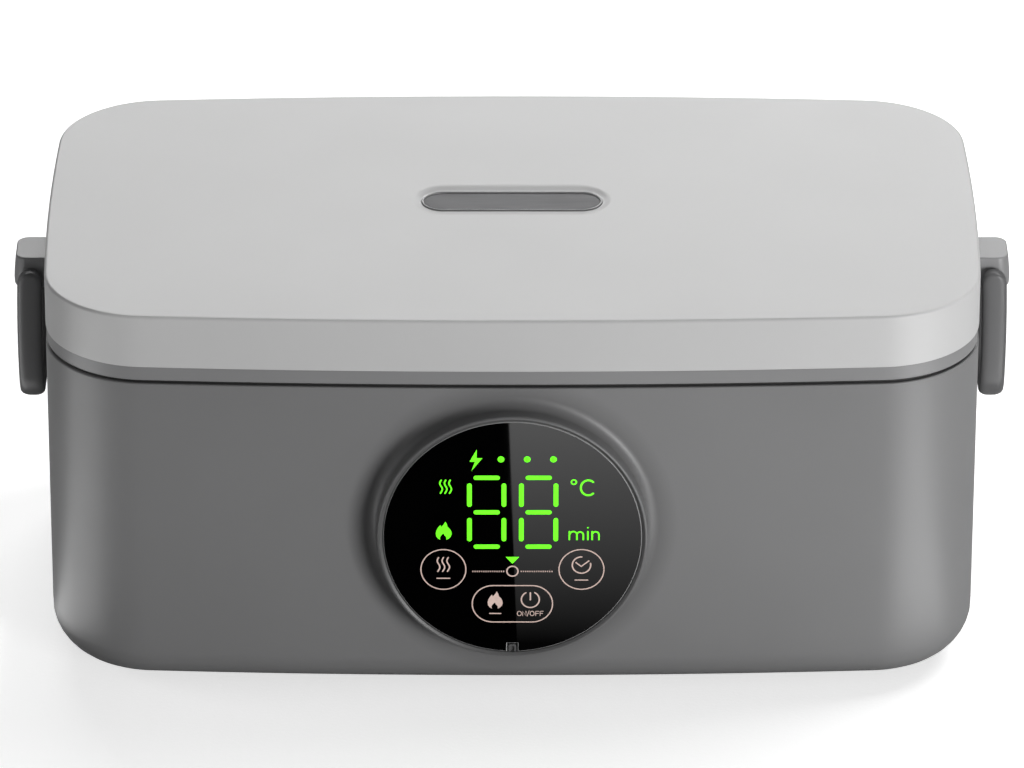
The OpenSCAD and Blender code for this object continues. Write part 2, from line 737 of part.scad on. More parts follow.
// Ear on the lid frame that carries a latch
module latch_ear(side) {
    x0 = outline_w / 2 + 0.3;
    x1 = outline_w / 2 + ear_out;
    translate([0, 0, ear_z]) linear_extrude(ear_h) for (m = [0, 1]) mirror([0, m, 0]) {
        translate([side > 0 ? x0 : -x1 + 3, 0]) square([x1 - x0 - 3, ear_half]);
        translate([side > 0 ? x0 : -x1, 0]) square([x1 - x0, ear_half - 3]);
        translate([side * (x1 - 3), ear_half - 3]) circle(3);
    }
    translate([side > 0 ? outline_w / 2 - 4 : -x1 + 4, -ear_half, frame_z])
        cube([x1 - outline_w / 2, 2 * ear_half, band_h]);
}

module lid_frame() color("#8b8b8d") in_place() difference() {
    union() {
        ring(band_inset, ring_w, frame_z, cover_z);
        ring(lid_wall + 0.2, lid_wall + 1.6, cover_z - 0.5, cover_z + 3);
        for (side = [-1, 1]) latch_ear(side);
    }
    block(ring_w - 6, frame_z - 1, ring_z);
    at_lid_posts() translate([0, 0, ring_z - 1]) {
        cylinder(r = screw_d / 2 + screw_gap, h = band_h + 2);
        cylinder(d = screw_head_d, h = 1 + lid_head_h);
    }
    for (side = [-1, 1]) translate([side * pivot_x, ear_half + 1, pivot_z]) rotate([90, 0, 0])
        cylinder(r = latch_pin_d / 2 + 0.02, h = 2 * ear_half + 2);
}

// Inner plate of the lid, with a drip rim over the container
module lid_liner() color("#dededc") in_place() {
    block(ring_w - 6 + cover_gap, frame_z, ring_z);
    ring(tub_in + 2, tub_in + 3.4, frame_z - 1.8, frame_z + 0.2);
}

module lid_seal() color("#151515") in_place() ring(seal_inset, ring_w - 6 - 0.4, rim_z, frame_z);

module lid_screws() color("#b8b8bc") in_place() at_lid_posts()
    translate([0, 0, ring_z + lid_head_h]) screw(screw_d, screw_head_d - 0.4, lid_head_h, lid_screw_l);

module lid_badge() color("#55565a") in_place() translate([0, badge_back, lid_top_z - badge_seat]) {
    linear_extrude(badge_seat - 0.5) pill(badge_w, badge_d);
    linear_extrude(badge_seat - 0.2) difference() {
        pill(badge_w, badge_d);
        pill(badge_w - 1, badge_d - 1);
    }
}

module latch_pins() color("#c2c4c7") in_place() for (side = [-1, 1])
    translate([side * pivot_x, latch_pin_half, pivot_z]) rotate([90, 0, 0])
        cylinder(d = latch_pin_d, h = 2 * latch_pin_half);

// Loop of flat bar with soft edges: two limbs with round ends, two bends and a crossbar
// Rings of the bar as [y, z, turn from hanging, half width, half thickness], from one limb's top
function half_loop() = concat(
    [for (t = [80:-16:0]) [
        limb_y, bar_w / 2 * sin(t), 0, bar_w / 2 * cos(t), bar_t / 2 * (1 - 0.4 * pow(sin(t), 8))
    ]],
    [for (k = [1:3]) [limb_y, -k * (latch_l - bend_r) / 4, 0, bar_w / 2, bar_t / 2]],
    [for (a = [0:15:90]) [
        limb_y - bend_r * (1 - cos(a)), bend_r - latch_l - bend_r * sin(a), a, bar_w / 2, bar_t / 2
    ]]
);

function loop_rings() = let (h = half_loop(), n = len(h)) concat(
    h, [for (i = [n - 1:-1:0]) [-h[i][0], h[i][1], 180 - h[i][2], h[i][3], h[i][4]]]
);

// Squares off a cosine or a sine, so that a ring has flat sides and round corners
function squared(c) = sign(c) * pow(abs(c), 0.6);

// Share of the bow at a height z under the pivot
function bowed(z) = -4 * z / latch_l * (1 + z / latch_l);

module bar_loop(side, sides = 24) {
    rings = loop_rings();
    top = (len(rings) - 1) * sides;
    polyhedron(
        points = [for (r = rings) for (i = [0:sides - 1])
            let (a = 360 * i / sides, across = r[4] * squared(sin(a))) [
                r[3] * squared(cos(a)) + side * bar_bow * bowed(r[1]),
                r[0] + across * cos(r[2]), r[1] - across * sin(r[2])
            ]],
        faces = concat(
            [[for (i = [sides - 1:-1:0]) i]],
            [for (k = [0:sides:top - sides]) for (i = [0:sides - 1])
                [k + i, k + (i + 1) % sides, k + sides + (i + 1) % sides, k + sides + i]],
            [[for (i = [0:sides - 1]) top + i]]
        ),
        convexity = 4
    );
}

module latch(side) translate([side * pivot_x, 0, pivot_z]) difference() {
    bar_loop(side);
    translate([0, latch_pin_half + 0.1, 0]) rotate([90, 0, 0])
        cylinder(r = latch_pin_d / 2 + pin_gap, h = 2 * latch_pin_half + 0.2);
}

module latch_left() color("#3a3a3c") in_place() latch(-1);

module latch_right() color("#3a3a3c") in_place() latch(1);

// Food container

module food_container() color("#d4d6d8") in_place() difference() {
    loft(concat(
        bottom_edge(pan_r, pan_inset, pan_z),
        [for (i = [0:4]) let (t = 45 * i) [pan_inset - bead_out * sin(t), pan_rim_z - 1.2 - 1.2 * cos(t)]]
    ));
    loft(concat(bottom_edge(pan_r - pan_t, pan_in, pan_z + pan_t), [[pan_in, pan_rim_z + 1]]));
}

module container_lid() color("#e6e8ea") in_place() difference() {
    union() {
        block(pan_inset - bead_out, pan_rim_z, pan_rim_z + pan_lid_t);
        ring(plug_inset, plug_inset + plug_t + seal_groove, pan_rim_z - plug_h, pan_rim_z + 0.5);
    }
    ring(plug_inset - 1, plug_inset + seal_groove, pan_rim_z - 3, pan_rim_z - 1);
    translate([0, 0, pan_rim_z - 1]) cylinder(d = 6, h = pan_lid_t + 2);
}

module container_seal() color("#f2f2f0") in_place()
    ring(pan_in + 0.15, plug_inset + seal_groove - 0.05, pan_rim_z - 2.9, pan_rim_z - 1.1);

module vent_plug() color("#b9bcc0") in_place() translate([0, 0, pan_rim_z]) rotate_extrude() polygon([
    [0, -2], [4, -2], [4, -0.2], [2.9, -0.2], [2.9, pan_lid_t], [vent_d / 2, pan_lid_t],
    [vent_d / 2 - 0.6, pan_lid_t + 1.2], [0, pan_lid_t + 1.2]
]);

outer_shell();
base_cover();
feet();
base_screws();
top_collar();
display_glass();
display_board();
digit_module();
touch_springs();
display_screws();
heating_tub();
heater_plate();
heating_film();
film_clamp();
heat_shield();
shield_spacers();
heater_screws();
thermostat();
temperature_sensor();
thermal_fuse();
power_board();
board_screws();
relay();
transformer();
capacitors();
wire_terminals();
inlet_socket();
inlet_pins();
lid_cover();
lid_frame();
lid_liner();
lid_seal();
lid_screws();
lid_badge();
latch_pins();
latch_left();
latch_right();
food_container();
container_lid();
container_seal();
vent_plug();
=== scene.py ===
from math import acos, asin, atan2, copysign, cos, hypot, pi, radians, sin, sqrt

import bmesh
import bpy
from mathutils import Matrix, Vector


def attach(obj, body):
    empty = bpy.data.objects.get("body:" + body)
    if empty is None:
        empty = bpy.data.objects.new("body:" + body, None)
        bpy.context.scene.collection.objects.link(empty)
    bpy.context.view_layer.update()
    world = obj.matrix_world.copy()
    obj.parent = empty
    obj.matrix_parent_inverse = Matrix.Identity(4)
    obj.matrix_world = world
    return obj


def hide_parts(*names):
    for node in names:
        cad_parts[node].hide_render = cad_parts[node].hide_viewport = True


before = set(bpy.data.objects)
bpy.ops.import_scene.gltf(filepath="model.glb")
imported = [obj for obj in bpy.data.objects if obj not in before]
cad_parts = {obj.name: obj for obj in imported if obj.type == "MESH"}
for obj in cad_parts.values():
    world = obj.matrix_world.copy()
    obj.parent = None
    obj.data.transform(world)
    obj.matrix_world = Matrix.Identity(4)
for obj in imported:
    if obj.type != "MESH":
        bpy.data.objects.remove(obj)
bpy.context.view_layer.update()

scene = bpy.context.scene

# Camera
# A long lens a little over two metres away, looking down on the front at 27 degrees, level with
# the middle of the box, as in the photograph. The small shift only sets the framing.
AIM = Vector((0.0, 0.00325, 0.0465))
TILT = radians(26.86)
REACH, SIDESTEP = 2.028, -0.006
lens = bpy.data.cameras.new("camera")
lens.sensor_width = 36.0
lens.lens = 276.2
lens.shift_x = 0.023
lens.shift_y = 0.0304
lens.clip_end = 20.0
camera = bpy.data.objects.new("camera", lens)
camera.location = AIM + REACH * Vector((0.0, -cos(TILT), sin(TILT))) + Vector((SIDESTEP, 0.0, 0.0))
camera.rotation_euler = (pi / 2 - TILT, 0.0, 0.0)
scene.collection.objects.link(camera)
scene.camera = camera

# Room
# A plain pale floor under soft boxes: a low key at the front right, a small one nearer by, a weak fill
# at the front left, one at the left, one behind and one overhead. Cards by the floor show in gloss only.
scene.view_settings.view_transform = "Standard"


def feed(tree, node, inputs):
    """Sets or links a node's inputs by name or number; a list links several sockets to one input."""
    for key, value in inputs.items():
        if isinstance(value, bpy.types.NodeSocket):
            tree.links.new(value, node.inputs[key])
        elif isinstance(value, list):
            for socket in value:
                tree.links.new(socket, node.inputs[key])
        else:
            node.inputs[key].default_value = value


def add(tree, kind, inputs=None, out=0, **settings):
    """Adds a node with its settings, feeds its inputs, and returns one of its outputs."""
    node = tree.nodes.new(kind)
    for key, value in settings.items():
        setattr(node, key, value)
    feed(tree, node, inputs or {})
    return node.outputs[out]


WHITE = (1.0, 1.0, 1.0, 1.0)
sky = bpy.data.worlds.new("studio")
sky.use_nodes = True
feed(sky.node_tree, sky.node_tree.nodes["Background"], {"Color": WHITE, "Strength": 0.06})
scene.world = sky


def soft_box(name, place, target, size, watts):
    """Rectangular area light that faces its target."""
    lamp = bpy.data.lights.new(name, "AREA")
    lamp.shape = "RECTANGLE"
    lamp.size, lamp.size_y = size
    lamp.energy = watts
    thing = bpy.data.objects.new(name, lamp)
    thing.location = place
    thing.rotation_euler = (Vector(target) - Vector(place)).to_track_quat("-Z", "Y").to_euler()
    scene.collection.objects.link(thing)


soft_box("light_key", (0.88, -1.2, 0.18), (0.0, 0.0, 0.05), (0.6, 0.35), 9.6)
soft_box("light_near", (0.42, -0.6, 0.12), (0.0, 0.0, 0.06), (0.25, 0.25), 1.5)
soft_box("light_fill", (-0.8, -1.1, 0.3), (0.0, 0.0, 0.06), (0.5, 0.5), 1.1)
soft_box("light_left", (-1.3, 0.1, 0.4), (0.0, 0.0, 0.06), (0.5, 0.6), 2.8)
soft_box("light_back", (0.0, 1.25, 0.78), (0.0, 0.0, 0.1), (1.2, 0.5), 11.0)
soft_box("light_over", (0.48, 0.22, 0.68), (0.0, 0.0, 0.1), (0.4, 0.4), 3.0)


def node_material(name):
    """New node material: its tree, its shader and the piece's own coordinates in metres."""
    m = bpy.data.materials.new(name)
    m.use_nodes = True
    tree = m.node_tree
    return m, tree, tree.nodes["Principled BSDF"], add(tree, "ShaderNodeTexCoord", out="Object")


def noise(tree, vector, scale, detail=2.0, roughness=0.5):
    """Soft noise over a vector, with features of about 1 / scale metres."""
    return add(tree, "ShaderNodeTexNoise",
               {"Scale": scale, "Detail": detail, "Roughness": roughness, "Vector": vector}, "Fac")


def between(tree, value, low, high, start=0.3, end=0.7):
    """Maps a value from start..end to low..high."""
    return add(tree, "ShaderNodeMapRange",
               {"Value": value, "From Min": start, "From Max": end, "To Min": low, "To Max": high}, "Result")


def tint(tree, value, first, second):
    """Colour that goes from first to second as the value goes from 0.3 to 0.7."""
    ramp = tree.nodes.new("ShaderNodeValToRGB")
    for stop, position, colour in zip(ramp.color_ramp.elements, (0.3, 0.7), (first, second)):
        stop.position, stop.color = position, (*colour, 1.0)
    feed(tree, ramp, {"Fac": value})
    return ramp.outputs["Color"]


def grey(share):
    """Colour with the same share of red, green and blue."""
    return share, share, share


def bump(tree, height, depth, strength=1.0):
    """Relief of a depth in metres."""
    return add(tree, "ShaderNodeBump", {"Strength": strength, "Distance": depth, "Height": height}, "Normal")


floor_mesh = bpy.data.meshes.new("floor")
floor_mesh.from_pydata([(-4, -4, 0), (4, -4, 0), (4, 4, 0), (-4, 4, 0)], [], [(0, 1, 2, 3)])
floor = bpy.data.objects.new("floor", floor_mesh)
scene.collection.objects.link(floor)
paper, tree, shader, place = node_material("studio_paper")
seen = add(tree, "ShaderNodeLightPath", out="Is Camera Ray")
feed(tree, shader, {
    "Base Color": tint(tree, seen, grey(0.5), grey(0.88)), "Roughness": 0.9, "Specular IOR Level": 0.1,
    "Emission Color": WHITE, "Emission Strength": between(tree, seen, 0.0, 0.6),
    "Normal": bump(tree, noise(tree, place, 900.0), 0.00005)})
floor_mesh.materials.append(paper)


def gloss_card(name, corners, glow_near, glow_far, near=-0.3, far=0.0):
    """Card just over the floor, seen only in gloss, whose glow goes from one Y in metres to another."""
    m, tree, shader, place = node_material(name)
    y = add(tree, "ShaderNodeSeparateXYZ", {"Vector": place}, "Y")
    glow = {"Strength": between(tree, y, glow_near, glow_far, near, far)}
    feed(tree, tree.nodes["Material Output"], {"Surface": add(tree, "ShaderNodeEmission", glow)})
    mesh = bpy.data.meshes.new(name)
    mesh.from_pydata([(x, y, 0.001) for x, y in corners], [], [(0, 1, 2, 3)])
    mesh.materials.append(m)
    card = bpy.data.objects.new(name, mesh)
    card.visible_camera = card.visible_diffuse = card.visible_shadow = card.visible_transmission = False
    scene.collection.objects.link(card)
    return card


cards = [
    gloss_card("card_dark", [(-0.08, -0.27), (-0.001, -0.27), (0.0016, -0.085), (-0.08, -0.085)], 0.0, 0.0),
    gloss_card("card_grey", [(-0.001, -0.27), (0.08, -0.27), (0.08, -0.085), (0.0016, -0.085)], 0.02, 2.1,
               near=-0.104, far=-0.232),
    gloss_card("card_right", [(0.112, -0.1), (0.25, -0.25), (0.32, -0.17), (0.145, -0.05)], 4.5, 4.5),
    gloss_card("card_left", [(-0.36, -0.22), (-0.13, -0.075), (-0.13, -0.02), (-0.36, -0.02)], 3.8, 3.8),
]

# Outer shell
# The moulded body of the box: a tray with shallow bulged sides, round corners and a rolled bottom
# edge, with a round boss on its front for the display. Satin grey plastic with a fine spark texture,
# with painted shade round the boss.
# Pieces are drawn in mm, about an outline whose middle lies BACK behind the origin.
MM = 0.001
BACK = 3.25
HALF_W, HALF_D = 118.0, 67.3
LONG_R, END_R, CORNER_R = 1650.0, 966.0, 26.6
LONG_C, END_C = HALF_D - LONG_R, HALF_W - END_R


def corner_centre():
    """Centre of the corner's circle, which touches the long arc and the end arc."""
    gap = hypot(END_C, LONG_C)
    ux, uy = END_C / gap, -LONG_C / gap
    long_reach, end_reach = LONG_R - CORNER_R, END_R - CORNER_R
    along = (long_reach ** 2 - end_reach ** 2 + gap ** 2) / (2 * gap)
    across = sqrt(long_reach ** 2 - along ** 2)
    return along * ux + across * uy, LONG_C + along * uy - across * ux


CX, CY = corner_centre()
A_END = atan2(CY, CX - END_C)
A_LONG = atan2(CY - LONG_C, CX)
ENDS, TURN, SIDE = 8, 22, 26
Q = ENDS + TURN + SIDE
SPAN = LONG_R * cos(A_LONG)
SIDE_X = [SPAN * (1 - k / SIDE) for k in range(SIDE + 1)]
SIDE_X[SIDE - 3] = 11.2  # the side of the inlet's window


def outline(inset):
    """The box's outline drawn in by inset, as 4 * Q points, anticlockwise from the right end's middle."""
    quarter = [(END_C + (END_R - inset) * cos(a), (END_R - inset) * sin(a))
               for a in (A_END * k / ENDS for k in range(ENDS + 1))]
    quarter += [(CX + (CORNER_R - inset) * cos(a), CY + (CORNER_R - inset) * sin(a))
                for a in (A_END + (A_LONG - A_END) * k / TURN for k in range(1, TURN))]
    for x in SIDE_X:
        a = acos(x / LONG_R)
        quarter.append(((LONG_R - inset) * cos(a), LONG_C + (LONG_R - inset) * sin(a)))
    half = quarter + [(-x, y) for x, y in quarter[-2::-1]]
    return half + [(-x, -y) for x, y in half[1:-1]]


def ring(inset, z):
    """The outline at a height, in mm."""
    return [(x, y + BACK, z) for x, y in outline(inset)]


def circle(x, y, radius, z, steps):
    """Round ring of points about an upright axis, in mm."""
    return [(x + radius * cos(t), y + radius * sin(t), z) for t in (2 * pi * k / steps for k in range(steps))]


def skin(bm, rings, close=False, capped=False, skip=lambda j, i: False):
    """Quads between rings of equal length, in mm; returns the rings' vertices."""
    rows = [[bm.verts.new((x * MM, y * MM, z * MM)) for x, y, z in r] for r in rings]
    n = len(rings[0])
    for j in range(len(rows) - (0 if close else 1)):
        a, b = rows[j], rows[(j + 1) % len(rows)]
        for i in range(n):
            if not skip(j, i):
                bm.faces.new((a[i], a[(i + 1) % n], b[(i + 1) % n], b[i]))
    if capped:
        bm.faces.new(rows[0][::-1])
        bm.faces.new(rows[-1])
    return rows


def bridge(bm, a, b):
    """Quads between two closed loops of vertices."""
    for i in range(len(a)):
        k = (i + 1) % len(a)
        bm.faces.new((a[i], a[k], b[k], b[i]))


def finished(bm, name, material, crease=35.0):
    """Object from the mesh being built, smooth but for its creases, with faces pointing out."""
    bmesh.ops.recalc_face_normals(bm, faces=bm.faces)
    mesh = bpy.data.meshes.new(name)
    bm.to_mesh(mesh)
    bm.free()
    mesh.polygons.foreach_set("use_smooth", [True] * len(mesh.polygons))
    mesh.set_sharp_from_angle(angle=radians(crease))
    mesh.materials.append(material)
    thing = bpy.data.objects.new(name, mesh)
    scene.collection.objects.link(thing)
    return thing


def soften(thing, width):
    """Small moulded radius along a piece's sharp edges."""
    b = thing.modifiers.new("edge", "BEVEL")
    b.width = width * MM
    b.segments = 2
    b.limit_method = "ANGLE"
    b.angle_limit = radians(40.0)
    b.harden_normals = True
    return thing


def even(thing):
    """Shading that keeps the broad faces flat beside their small radii."""
    w = thing.modifiers.new("even", "WEIGHTED_NORMAL")
    w.keep_sharp = True
    return thing


def lofted(name, material, rings, crease=35.0, **ends):
    """Piece made of one skin over its rings."""
    bm = bmesh.new()
    skin(bm, rings, **ends)
    return even(finished(bm, name, material, crease))


def moulded(name, dark, light, rough, grain=2600.0, depth=0.000012, spread=0.025):
    """Moulded plastic: a faint cloud of colour, a fine spark texture and slightly uneven gloss."""
    m, tree, shader, place = node_material(name)
    feed(tree, shader, {
        "Base Color": tint(tree, noise(tree, place, 14.0, 3.0), dark, light),
        "Roughness": between(tree, noise(tree, place, 45.0), rough - spread, rough + spread),
        "Normal": bump(tree, noise(tree, place, grain, 1.0), depth)})
    return m


WALL, BASE_Z, RIM_Z, BOTTOM_R = 2.4, 2.0, 88.0, 12.0
DISC_Z, GLASS_R, RIM_R, BORE_R = 49.4, 32.4, 33.8, 31.6
BOSS_DEPTH, GLASS_SINK = 6.5, 0.4
FACE_Y = BACK - HALF_D - BOSS_DEPTH
PANEL_Y = FACE_Y + GLASS_SINK
SHADE_FROM, SHADE_TO = 30.0, 45.0
shell_grey = moulded("shell_plastic", (0.185, 0.185, 0.187), (0.2, 0.2, 0.202), 0.45)


def paint_boss_shade(m, tones):
    """Painted shade round the glass: a darker colour on the bevel and the boss's root, by steps of mm from
    the glass's middle and share of the colour.
    """
    tree = m.node_tree
    shader, place = tree.nodes["Principled BSDF"], tree.nodes["Texture Coordinate"].outputs["Object"]
    middle = (0.0, (FACE_Y + 2.0) * MM, DISC_Z * MM)
    across = add(tree, "ShaderNodeVectorMath", {0: place, 1: middle}, operation="SUBTRACT")
    reach = add(tree, "ShaderNodeVectorMath", {0: across}, "Value", operation="LENGTH")
    ramp = tree.nodes.new("ShaderNodeValToRGB")
    while len(ramp.color_ramp.elements) < len(tones):
        ramp.color_ramp.elements.new(0.5)
    for stop, (r, share) in zip(ramp.color_ramp.elements, tones):
        stop.position = (r - SHADE_FROM) / (SHADE_TO - SHADE_FROM)
        stop.color = (*grey(share), 1.0)
    feed(tree, ramp, {"Fac": between(tree, reach, 0.0, 1.0, SHADE_FROM * MM, SHADE_TO * MM)})
    colour = shader.inputs["Base Color"].links[0].from_socket
    scaled = add(tree, "ShaderNodeVectorMath", {0: colour, "Scale": ramp.outputs["Color"]}, operation="SCALE")
    feed(tree, shader, {"Base Color": scaled})


# Painted shade: the bevel round the glass and the root of the boss are coloured darker where shade falls.
paint_boss_shade(shell_grey, [(RIM_R - 0.6, 0.42), (RIM_R - 0.4, 0.72), (RIM_R + 3.0, 0.74), (RIM_R + 8.0, 1.0)])

STRAIGHT_Z, LIP_R, ROWS = BASE_Z + BOTTOM_R, 0.4, 20
LIP_Z = RIM_Z - LIP_R
SEAT_IN, SEAT_LOW, SEAT_TOP = 3.8, 82.6, 84.6
turns = [radians(9 * k) for k in range(11)]
outer = [(16.0, BASE_Z), (14.0, BASE_Z)]
outer += [(BOTTOM_R * (1 - sin(t)), BASE_Z + BOTTOM_R * (1 - cos(t))) for t in turns]
outer += [(0.0, STRAIGHT_Z + (LIP_Z - STRAIGHT_Z) * k / ROWS) for k in range(1, ROWS + 1)]
outer += [(LIP_R * (1 - cos(radians(a))), LIP_Z + LIP_R * sin(radians(a))) for a in (30, 60, 90)]
outer += [(0.8, RIM_Z), (2.0, RIM_Z)]
inner_r = BOTTOM_R - WALL
inner = [(16.0, BASE_Z + WALL), (14.0, BASE_Z + WALL)]
inner += [(WALL + inner_r * (1 - sin(t)), BASE_Z + WALL + inner_r * (1 - cos(t))) for t in turns]
inner += [(WALL, STRAIGHT_Z + (SEAT_LOW - 0.3 - STRAIGHT_Z) * k / ROWS) for k in range(1, ROWS + 1)]
inner += [(WALL, SEAT_LOW), (SEAT_IN, SEAT_LOW), (SEAT_IN, SEAT_TOP), (WALL, SEAT_TOP), (WALL, RIM_Z)]

# Holes in the wall's grid: first and last row, first and last column
FOOT_ROW = 2 + 10
front_hole = (FOOT_ROW - 1, FOOT_ROW + ROWS, 3 * Q - 12, 3 * Q + 12)
inlet_hole = (FOOT_ROW, FOOT_ROW + 4, Q - 3, Q + 3)


def in_hole(j, i):
    """Whether a quad of the wall lies in the display's or the inlet's hole."""
    return any(low <= j < high and first <= i < last for low, high, first, last in (front_hole, inlet_hole))


# The wall's rows are moved so that four of them span the inlet's window
for j, z in enumerate((15.8, 18.9, 22.0, 25.1, 28.2), FOOT_ROW):
    outer[j], inner[j] = (0.0, z), (WALL, z)

bm = bmesh.new()
outside = skin(bm, [ring(*r) for r in outer], skip=in_hole)
inside = skin(bm, [ring(*r) for r in inner], skip=in_hole)
bridge(bm, outside[0], inside[0])
bridge(bm, outside[-1], inside[-1])


def loop_round(rows, low, high, first, last):
    """Vertices round a rectangle of the wall's grid, anticlockwise from its first column's foot."""
    low_side = [rows[low][i] for i in range(first, last)]
    up = [rows[j][last] for j in range(low, high)]
    high_side = [rows[high][i] for i in range(last, first, -1)]
    down = [rows[j][first] for j in range(high, low, -1)]
    return low_side + up + high_side + down


bridge(bm, loop_round(outside, *inlet_hole), loop_round(inside, *inlet_hole))
edge = loop_round(outside, *front_hole)
around = [atan2(v.co.z / MM - DISC_Z, v.co.x / MM) for v in edge]


def wall_y(x, z, inset=0.0):
    """Front wall's Y at a point, on the straight wall or its rolled bottom edge."""
    if z < STRAIGHT_Z:
        inset += BOTTOM_R * (1 - sin(acos(max(0.0, 1 - (z - BASE_Z) / BOTTOM_R))))
    return BACK - (sqrt((LONG_R - inset) ** 2 - x * x) + LONG_C)


ROOT_R, NOSE_R = 3.0, 0.6


def disc_ring(radius, y=None, out=0.0):
    """Circle of vertices about the display's axis: at a fixed Y, or standing out from the wall."""
    made = []
    for a in around:
        x, z = radius * cos(a), DISC_Z + radius * sin(a)
        foot_x, foot_z = (RIM_R + ROOT_R) * cos(a), DISC_Z + (RIM_R + ROOT_R) * sin(a)
        made.append(bm.verts.new((x * MM, (wall_y(foot_x, foot_z) - out if y is None else y) * MM, z * MM)))
    return made


loops = [edge]
for t in range(0, 91, 10):
    loops.append(disc_ring(RIM_R + ROOT_R * (1 - sin(radians(t))), out=ROOT_R * (1 - cos(radians(t)))))
loops.append(disc_ring(RIM_R, FACE_Y + 2 * NOSE_R))
for t in range(0, 91, 18):
    loops.append(disc_ring(RIM_R - NOSE_R * (1 - cos(radians(t))), FACE_Y + NOSE_R * (1 - sin(radians(t)))))
seat = [(RIM_R - 0.7, FACE_Y + 0.02), (GLASS_R + 0.1, PANEL_Y), (GLASS_R + 0.1, PANEL_Y + 1.6),
        (GLASS_R - 1.8, PANEL_Y + 1.6), (GLASS_R - 1.8, PANEL_Y + 3.0), (BORE_R, PANEL_Y + 3.0),
        (BORE_R, BACK - HALF_D + WALL + 0.1)]
loops += [disc_ring(r, y) for r, y in seat] + [loop_round(inside, *front_hole)]
for a, b in zip(loops, loops[1:]):
    bridge(bm, a, b)


def slab(bm, low, high):
    """Upright box between two corners, in mm."""
    (x0, y0, z0), (x1, y1, z1) = low, high
    skin(bm, [[(x0, y0, z), (x1, y0, z), (x1, y1, z), (x0, y1, z)] for z in (z0, z1)], capped=True)


def prism(bm, section, y0, y1):
    """Closed outline of (x, z) points drawn out along Y, in mm."""
    skin(bm, [[(x, y, z) for x, z in section] for y in (y0, y1)], capped=True)


def tube(bm, centre, outer_r, inner_r, ends, along_y=False):
    """Post with a bore, upright or along Y; its centre is (x, y), or (x, z) when it lies along Y."""
    section = [(outer_r, ends[0]), (outer_r, ends[1]), (inner_r, ends[1]), (inner_r, ends[0])]
    rings = [circle(*centre, radius, h, 32) for radius, h in section]
    skin(bm, [[(x, h, z) if along_y else (x, z, h) for x, z, h in r] for r in rings], close=True)


# Key at the glass's foot, the rib each latch hooks under, and the posts inside
KEY_Z = DISC_Z - GLASS_R - 0.6
arch = [(-1.0, 0), (-0.4, 0), (-0.4, 1.75), (-0.2, 1.95), (0.2, 1.95), (0.4, 1.75), (0.4, 0), (1.0, 0),
        (1.0, 1.95), (0.85, 2.35), (0.5, 2.5), (-0.5, 2.5), (-0.85, 2.35), (-1.0, 1.95)]
prism(bm, [(x, KEY_Z + z) for x, z in arch], FACE_Y + 0.7, FACE_Y + 1.35)
prism(bm, [(x, KEY_Z + z) for x, z in arch[:1] + arch[7:]], FACE_Y + 1.3, FACE_Y + 2.7)
CROSS_Z, CATCH_HALF = 56.9, 4.8
hook = ((116.8, 2.6), (119.2, 3.0), (119.2, 3.8), (117.8, 6.2), (116.8, 6.2))
for side in (-1, 1):
    prism(bm, [(side * x, CROSS_Z + z) for x, z in hook], BACK - CATCH_HALF, BACK + CATCH_HALF)
    for y in (-1, 1):
        tube(bm, (side * CX, BACK + y * CY), 4.0, 1.55, (4.4, 19.4))
POST_R = 2.4
POST_C = BORE_R - 0.6 - POST_R
display_posts = [(POST_C * cos(pi / 4 * k), DISC_Z + POST_C * sin(pi / 4 * k)) for k in (1, 3, 5, 7)]
for post in display_posts:
    tube(bm, post, POST_R, 1.15, (PANEL_Y + 2.3, PANEL_Y + 6.3), along_y=True)
outer_shell = even(soften(finished(bm, "shell_moulding", shell_grey), 0.2))
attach(outer_shell, "base")
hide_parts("outer_shell")

# Base cover, feet and screws
# The plain plastic cover under the bay, four ribbed rubber feet pushed into its recesses, and the
# steel pan-head screws that hold the cover, the boards, the heater and the lid together.
cover_grey = moulded("cover_plastic", (0.07, 0.07, 0.072), (0.085, 0.085, 0.087), 0.5, 1800.0, 0.00003)


def finish_node(node, material):
    """Gives a CAD node its finish."""
    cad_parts[node].material_slots[0].material = material


finish_node("base_cover", cover_grey)


def new_group(name, *sizes):
    """Empty node group from a mesh to a mesh, with named sizes in metres."""
    g = bpy.data.node_groups.new(name, "GeometryNodeTree")
    g.interface.new_socket("Mesh", in_out="INPUT", socket_type="NodeSocketGeometry")
    for size in sizes:
        g.interface.new_socket(size, in_out="INPUT", socket_type="NodeSocketFloat")
    g.interface.new_socket("Mesh", in_out="OUTPUT", socket_type="NodeSocketGeometry")
    return g, g.nodes.new("NodeGroupInput").outputs


def times(g, value, factor):
    """A value times a number."""
    return add(g, "ShaderNodeMath", {0: value, 1: factor}, operation="MULTIPLY")


def moved(g, shape, z, **more):
    """A shape moved along Z, and turned or scaled if asked."""
    inputs = {"Geometry": shape, "Translation": add(g, "ShaderNodeCombineXYZ", {"Z": z}), **more}
    return add(g, "GeometryNodeTransform", inputs)


def close_group(g, shape, material):
    """Ends the tree in Realize Instances and Set Material."""
    whole = add(g, "GeometryNodeRealizeInstances", {"Geometry": shape})
    smooth = add(g, "GeometryNodeSetShadeSmooth", {"Geometry": whole})
    done = add(g, "GeometryNodeSetMaterial", {"Geometry": smooth, "Material": material})
    g.links.new(done, g.nodes.new("NodeGroupOutput").inputs[0])


